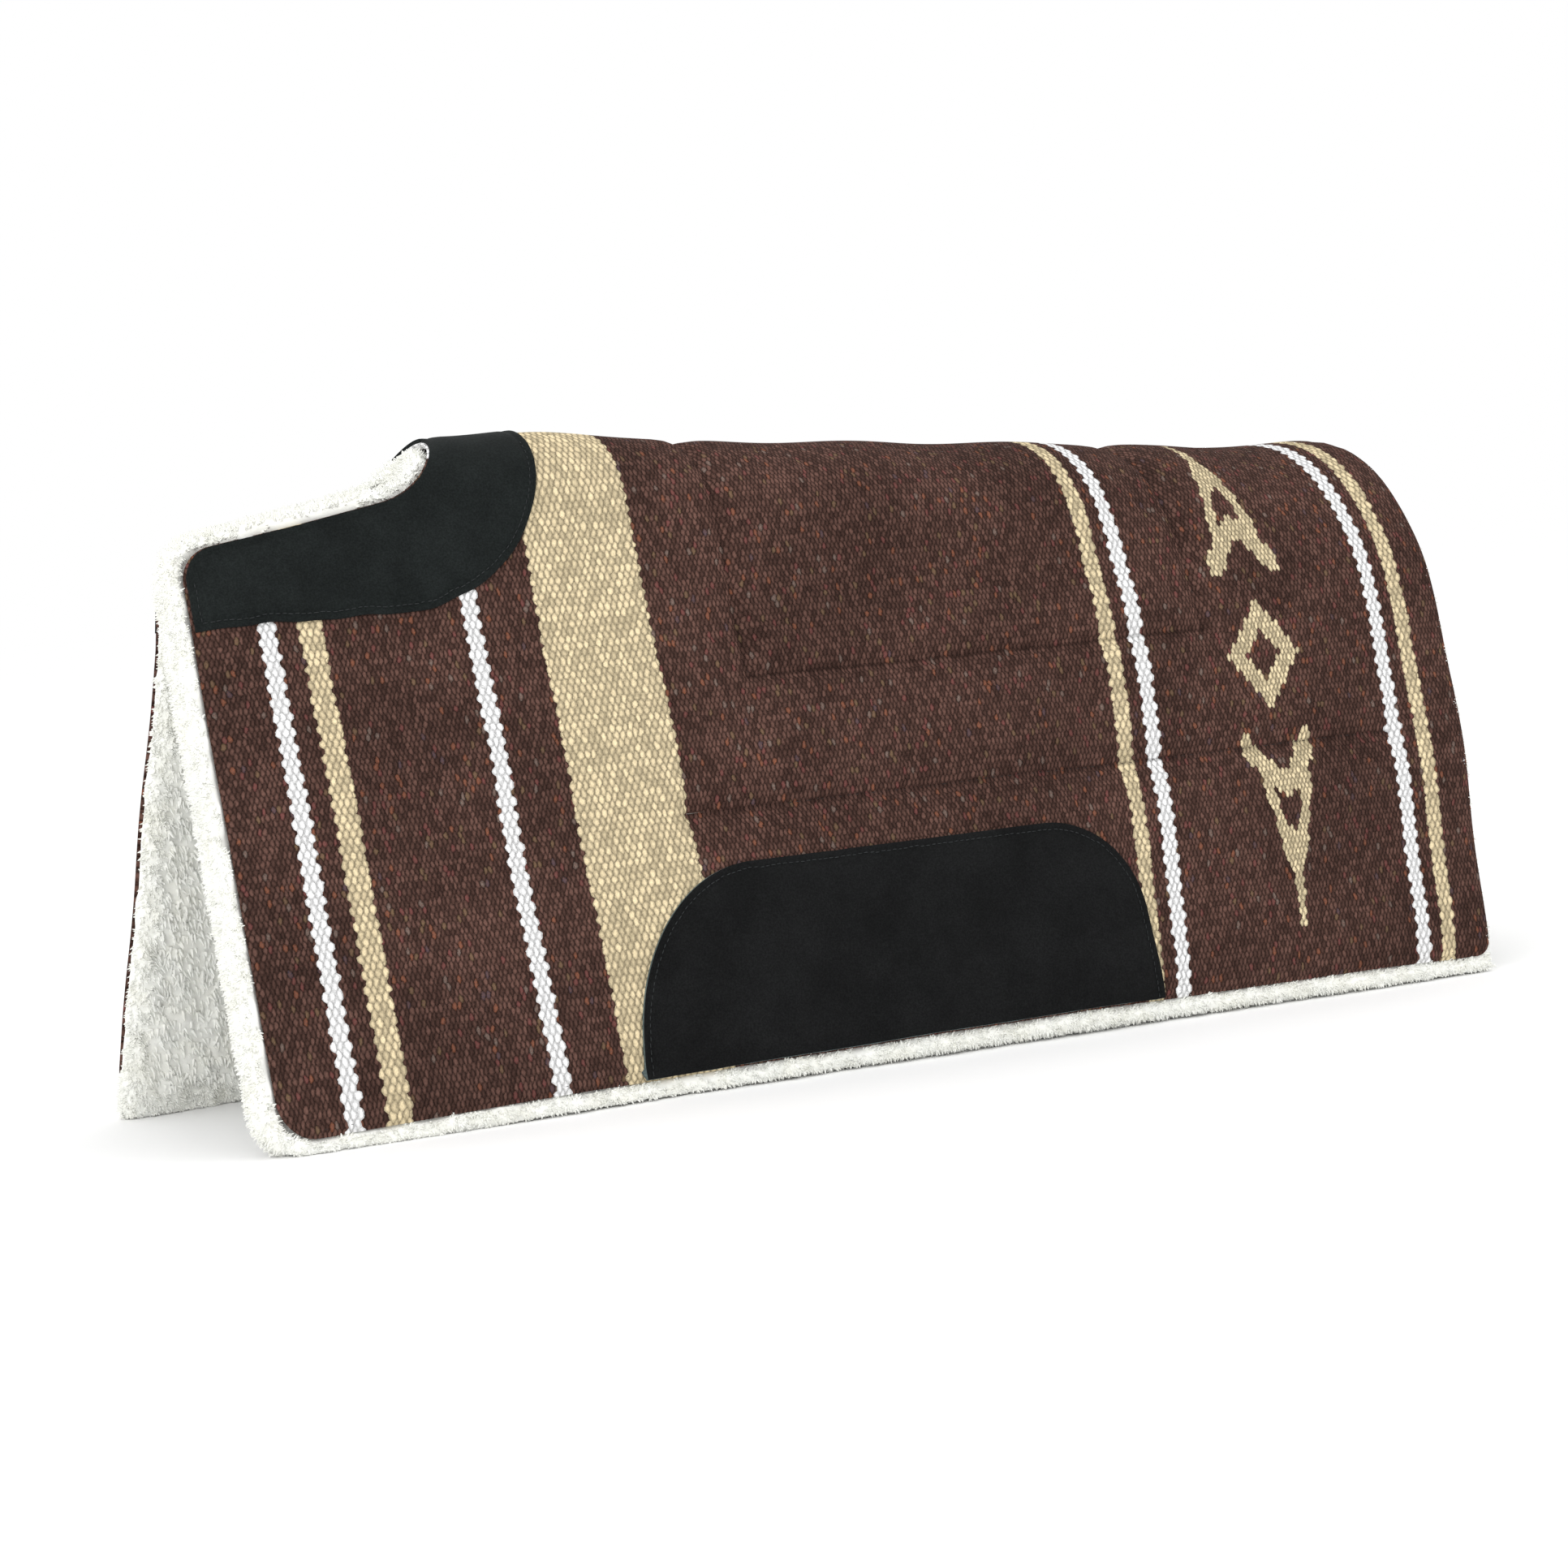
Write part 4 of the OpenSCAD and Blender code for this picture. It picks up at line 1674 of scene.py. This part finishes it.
    def _regions(self, centres: np.ndarray, normals: np.ndarray, side: Side) -> tuple[np.ndarray, np.ndarray]:
        """Tells which faces of the pile are hidden, and which lie near its rim.

        Args:
            centres: Rows of face centres.
            normals: Rows of face normals.
            side: The half that they belong to.

        Returns:
            Two truth arrays: hidden under the cover or in the cut at the ridge, and near the rim.
        """
        pad = self.pad
        at_ridge = (np.abs(centres[:, 1]) < 0.02 * MM) & (np.abs(normals[:, 1]) > 0.9)
        covered = self._cloud(side, -2 * MM, pad.cover + pad.core - 1 * MM)
        inner = self._cloud(side, pad.fold.over - self.rim, pad.cover + pad.core + pad.fleece)
        hidden = np.array([covered.find(c)[2] < self.reach for c in centres])
        deep = np.array([inner.find(c)[2] < self.reach for c in centres])
        return at_ridge | hidden, ~deep

    def _cloud(self, side: Side, grow: float, depth: float) -> KDTree:
        """Points over the sheet, with its edges moved out by grow, at a depth.

        Args:
            side: The half to cover.
            grow: How far the sheet's edges move out.
            depth: Depth of the points.

        Returns:
            A tree of the points.
        """
        pad = self.pad
        low, high = pad.outline.notch(grow), pad.outline.hem(grow)
        rows = []
        for u in np.arange(-grow, pad.fold.length + grow, 6 * MM):
            at = np.array([u])
            vs = np.arange(float(low(at)[0]), float(high(at)[0]), 6 * MM)
            rows.append(np.stack([np.full_like(vs, u), vs, np.full_like(vs, depth)], axis=1))
        cloud = pad.fold.place(np.concatenate(rows), side)
        tree = KDTree(len(cloud))
        for i, point in enumerate(cloud):
            tree.insert(point, i)
        tree.balance()
        return tree


@dataclass
class SuedePatch:
    """A suede piece sewn on the cover: the withers patch or a wear leather."""

    pad: Layers
    name: str
    slot_nodes: tuple[str, ...]
    panel: Panel
    crosses_spine: bool
    cut: bpy.types.Material
    pressed: float = 0.7 * MM
    seam_inset: float = 4 * MM
    seam_width: float = 1.6 * MM

    def build(self, side: Side) -> bpy.types.Object:
        """Makes one half of the withers patch, or one flap's wear leather.

        Args:
            side: The half to make.

        Returns:
            The piece.
        """
        pad = self.pad
        bm, room = self.panel.grid()
        name_uv(bm, side)
        flat = np.array([v.co for v in bm.verts])
        if not self.crosses_spine:
            flat[:, 0] -= pad.fold.hang.slip(flat, side)[:, 0]
            for vert, u in zip(bm.verts, flat[:, 0]):
                vert.co.x = u
        rise = pad.surface(flat[:, 0], flat[:, 1], side)
        if self.crosses_spine:
            room[:, 2] = pad.outline.notch_room(flat, -1 * MM)
        pressed = self.pressed * bell(room.min(axis=1), self.seam_inset, self.seam_width)
        lay_on(bm, pad.fold, side, pressed - pad.suede - rise)
        obj = to_object(bm, f"{side.label}_{self.name}", pad.finishes.suede)
        thicken(obj, pad.suede + 0.5 * MM, 0.5 * MM, self.cut)
        nodes = [n.format(side=side.label) for n in self.slot_nodes]
        if self.crosses_spine:
            bend_with(obj)
        else:
            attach(obj, side.flap)
        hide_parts(*nodes)
        us = np.linspace(self.panel.u0, self.panel.u1, 400)
        tall = float(np.max(self.panel.high(us)) - np.min(self.panel.low(us)))
        self.panel.area()
        return obj


@dataclass
class Sewing:
    """Stitches that follow lines on the pad."""

    pad: Layers
    pitch: float = 4.2 * MM
    long: float = 3.2 * MM
    thick: float = 0.75 * MM
    stray: float = 0.18 * MM
    seed: int = 5

    def _stitch(self) -> Stamp:
        """One stitch of unit size: a bean that dips at both ends.

        Returns:
            The stitch's stamp.
        """
        shape = bmesh.new()
        bmesh.ops.create_uvsphere(shape, u_segments=6, v_segments=5, radius=0.5,
                                  matrix=Matrix.Rotation(math.pi / 2, 4, "Y"))
        for vert in shape.verts:
            vert.co.z -= 0.9 * vert.co.x ** 2
        return Stamp(shape)

    def along(self, name: str, side: Side, runs: list[np.ndarray], lift: float, finish: bpy.types.Material,
              slot: str, nodes: tuple[str, ...], crosses: bool) -> bpy.types.Object:
        """Sews stitches along runs of flat points, level with the hem if the piece doesn't cross the hinge.

        Args:
            name: Name of the piece, without its side.
            side: The half that the runs lie on.
            runs: Arrays of flat (u, v) points.
            lift: Height of the thread's middle over the cover's face.
            finish: The thread's finish.
            slot: Not used.
            nodes: CAD nodes that the thread stands for.
            crosses: Whether the thread crosses the hinge line.

        Returns:
            The sewn piece.
        """
        rng = np.random.default_rng(self.seed + side.value)
        spots, heads = [], []
        for run in runs:
            travel = np.concatenate([[0.0], np.cumsum(np.hypot(*np.diff(run, axis=0).T))])
            count = max(1, int(travel[-1] / self.pitch))
            at = (np.arange(count) + 0.5) * travel[-1] / count
            back, spot, ahead = [np.stack([np.interp(at + off, travel, run[:, k]) for k in (0, 1)], axis=1)
                                 for off in (-0.1 * MM, 0.0, 0.1 * MM)]
            spots.append(spot)
            heads.append((ahead - back) / np.linalg.norm(ahead - back, axis=1)[:, None])
        spot, head = np.concatenate(spots), np.concatenate(heads)
        spot = spot + rng.normal(0, self.stray, spot.shape)
        if not crosses:
            level = np.concatenate([spot, np.zeros((len(spot), 1))], axis=1)
            spot[:, 0] -= self.pad.fold.hang.slip(level, side)[:, 0]
        height = self.pad.surface(spot[:, 0], spot[:, 1], side) + lift
        flat = np.concatenate([spot, -height[:, None]], axis=1)
        places = self.pad.fold.place(flat, side)
        axes = self.pad.fold.frames(flat, head, side)
        size = np.array([self.long, self.thick, self.thick * 0.8])
        sizes = size[None] * rng.uniform(0.88, 1.12, (len(flat), 3))
        mesh = self._stitch().copies(places, axes, sizes)
        mesh.name = f"{side.label}_{name}"
        mesh.materials.append(finish)
        obj = bpy.data.objects.new(f"{side.label}_{name}", mesh)
        bpy.context.scene.collection.objects.link(obj)
        if crosses:
            bend_with(obj)
        else:
            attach(obj, side.flap)
        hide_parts(*nodes)
        return obj


def trace(panel: Panel, edges: tuple[str, ...]) -> list[np.ndarray]:
    """Runs of flat points along a panel's named edges.

    Args:
        panel: The panel to follow.
        edges: Any of low, high, front and rear.

    Returns:
        One array of u and v for each edge.
    """
    us = panel.u_lines()
    low, high = panel.low(us), panel.high(us)
    runs = []
    if "low" in edges:
        runs.append(np.stack([us, low], axis=1))
    if "high" in edges:
        runs.append(np.stack([us, high], axis=1))
    for name, i in (("front", 0), ("rear", -1)):
        if name in edges:
            vs = np.linspace(low[i], high[i], 60)
            runs.append(np.stack([np.full_like(vs, us[i]), vs], axis=1))
    return runs


@dataclass(frozen=True)
class PatchPlan:
    """Outlines of the suede on the flat sheet."""

    outline: Outline
    half: float = 111 * MM
    back: float = 213 * MM
    corner: float = 92 * MM
    wear_front: float = 208 * MM
    wear_rear: float = 538 * MM
    wear_height: float = 109 * MM
    wear_sweep: float = 85 * MM
    wear_corner: float = 58 * MM

    def withers(self, inset: float = 0.0) -> Panel:
        """The withers patch, with its edges moved in by inset.

        Args:
            inset: How far the edges move in.

        Returns:
            The patch's panel on one half.
        """
        radius, back, half = self.corner - inset, self.back - inset, self.half - inset

        def lower(u: np.ndarray) -> np.ndarray:
            """Lower edge, with its round rear corner and the slight waves of cut suede.

            Args:
                u: Flat places along the spine.

            Returns:
                The edge's v at each of them.
            """
            off = np.clip(u - (back - radius), 0.0, radius)
            waves = 0.5 * MM * np.sin(u / (9 * MM)) + 0.35 * MM * np.sin(u / (4.3 * MM) + 1.0)
            return half - radius + np.sqrt(radius ** 2 - off ** 2) + waves
        front = 1 * MM + inset
        return Panel(front, back, self.outline.notch(-front), lower, 3.0 * MM)

    def wear(self, inset: float = 0.0) -> Panel:
        """A wear leather, whose lower edge is the hem, with its other edges moved in by inset.

        Args:
            inset: How far the edges move in.

        Returns:
            The leather's panel.
        """
        half = self.outline.fold.half
        front, rear = self.wear_front + inset, self.wear_rear - inset
        sweep, corner = self.wear_sweep - inset, self.wear_corner - inset
        height = self.wear_height - inset

        def upper(u: np.ndarray) -> np.ndarray:
            """Upper edge: it sweeps up from the hem in front and has a round corner at the rear.

            Args:
                u: Flat places along the spine.

            Returns:
                The edge's v at each of them.
            """
            off = np.clip((front + sweep - u) / sweep, 0.0, 1.0)
            swept = half - height * np.sqrt(1.0 - off ** 2)
            past = np.clip(u - (rear - corner), 0.0, corner)
            turned = half - height + corner - np.sqrt(corner ** 2 - past ** 2)
            return np.minimum(np.maximum(swept, turned), half - 1.5 * MM)
        return Panel(front, rear, upper, lambda u: np.full_like(u, half - 0.6 * MM), 3.4 * MM)


# ---- the studio ----


@dataclass(frozen=True)
class Studio:
    """Camera, floor and lights."""

    camera_at: tuple[float, float, float] = (-1.1112, -1.9233, 0.3146)
    heading: float = 29.66
    tilt: float = -4.187
    roll: float = -4.715
    lens: float = 85.7

    def build(self) -> None:
        """Makes the studio round the pad."""
        self._camera()
        self._floor()
        self._lights()
        view = bpy.context.scene.view_settings
        view.view_transform = "Standard"
        view.look = "None"

    def _camera(self) -> None:
        """The camera, at the height and angle that the pad is shown from."""
        data = bpy.data.cameras.new("camera")
        data.lens = self.lens
        data.sensor_width = 36.0
        camera = bpy.data.objects.new("camera", data)
        bpy.context.scene.collection.objects.link(camera)
        turn = (Matrix.Rotation(-math.radians(self.heading), 4, "Z")
                @ Matrix.Rotation(math.radians(90 + self.tilt), 4, "X")
                @ Matrix.Rotation(math.radians(self.roll), 4, "Z"))
        camera.matrix_world = Matrix.Translation(self.camera_at) @ turn
        bpy.context.scene.camera = camera

    def _floor(self) -> None:
        """A wide pale floor."""
        bm = bmesh.new()
        bmesh.ops.create_circle(bm, cap_ends=True, segments=96, radius=14.0)
        white = Nodes("floor").finish((1.0, 1.0, 1.0, 1), 1.0, specular=0.0)
        to_object(bm, "floor", white)

    def _lights(self) -> None:
        """A bright even world with soft lamps above and beside the camera."""
        world = bpy.data.worlds.new("studio")
        bpy.context.scene.world = world
        world.use_nodes = True
        back = world.node_tree.nodes["Background"]
        back.inputs["Color"].default_value = (1.0, 1.0, 1.0, 1.0)
        back.inputs["Strength"].default_value = 1.0
        lamps = (("key", (-2.3, -2.1, 1.5), 1.4, 24.0), ("fill", (2.4, -1.8, 1.6), 2.4, 5.0),
                 ("top", (0.2, 0.3, 3.0), 2.0, 11.0))
        for name, at, size, power in lamps:
            data = bpy.data.lights.new(name, "AREA")
            data.size = size
            data.energy = power
            lamp = bpy.data.objects.new(name, data)
            bpy.context.scene.collection.objects.link(lamp)
            lamp.location = at
            lamp.rotation_euler = (Vector((0.0, 0.0, 0.15)) - Vector(at)).to_track_quat("-Z", "Y").to_euler()


# ---- putting it together ----


def sew_patches(pad: Layers, plan: PatchPlan, side: Side) -> list[bpy.types.Object]:
    """Suede and its stitching on one half.

    Args:
        pad: The pad's layers.
        plan: Outlines of the suede.
        side: The half to sew.

    Returns:
        The four pieces.
    """
    label = side.label
    withers = SuedePatch(pad, "withers_suede", ("{side}_withers_patch", "spine_withers_patch"),
                         plan.withers(), True, pad.finishes.suede).build(side)
    wear = SuedePatch(pad, "wear_suede", ("{side}_wear_leather",), plan.wear(), False,
                      pad.finishes.suede_cut).build(side)
    sewing = Sewing(pad, pitch=3.6 * MM, long=2.8 * MM, thick=0.6 * MM)
    lift = pad.suede + 0.1 * MM
    patch_seam = sewing.along("withers_stitching", side, trace(plan.withers(4 * MM), ("high", "front")),
                              lift, pad.finishes.suede_thread, "suede_thread",
                              (f"{label}_patch_seam", "spine_patch_seam"), True)
    wear_seam = sewing.along("wear_stitching", side, trace(plan.wear(4 * MM), ("low", "rear")),
                             lift, pad.finishes.suede_thread, "suede_thread", (f"{label}_wear_seam",), False)
    return [withers, wear, patch_seam, wear_seam]


def sew_quilting(pad: Layers, quilt: QuiltPlan, side: Side) -> list[bpy.types.Object]:
    """Quilting thread and the edge seam on one half.

    Args:
        pad: The pad's layers.
        quilt: Where the quilting runs.
        side: The half to sew.

    Returns:
        The two pieces.
    """
    label = side.label
    runs = [np.linspace(a, b, 80) for a, b in quilt.lines()]
    sewing = Sewing(pad, pitch=5.2 * MM, long=4.4 * MM, thick=0.8 * MM)
    quilting = sewing.along("quilting_thread", side, runs, 0.1 * MM, pad.finishes.quilt_thread,
                            "quilt_thread", (f"{label}_quilting", "spine_quilting"), True)
    rim = Panel(4 * MM, pad.fold.length - 4 * MM, pad.outline.notch(-4 * MM), pad.outline.hem(-4 * MM))
    seam = sewing.along("edge_thread", side, trace(rim, ("high", "front", "rear")), -0.5 * MM,
                        pad.finishes.quilt_thread, "quilt_thread",
                        (f"{label}_edge_seam", "spine_edge_seam"), True)
    return [quilting, seam]


def main() -> None:
    """Builds the studio and then the pad, layer by layer."""
    logging.basicConfig(level=logging.INFO, format="%(name)s: %(message)s")
    Studio().build()
    fold, quilt = Fold(), QuiltPlan()
    outline = Outline(fold)
    pad = Layers(fold, outline, Drape(fold), CoverPuff(fold, quilt), make_finishes())
    plan = PatchPlan(outline)
    made: list[bpy.types.Object] = []
    for side in Side:
        made.append(FleeceLining(pad).build(side))
        made.append(FeltCore(pad).build(side))
        made.append(WovenCover(pad).build(side))
        made += sew_patches(pad, plan, side)
        made += sew_quilting(pad, quilt, side)
    for piece in made:
        log.info("%s: %d faces", piece.name, len(piece.data.polygons))


if __name__ == "__main__":
    main()
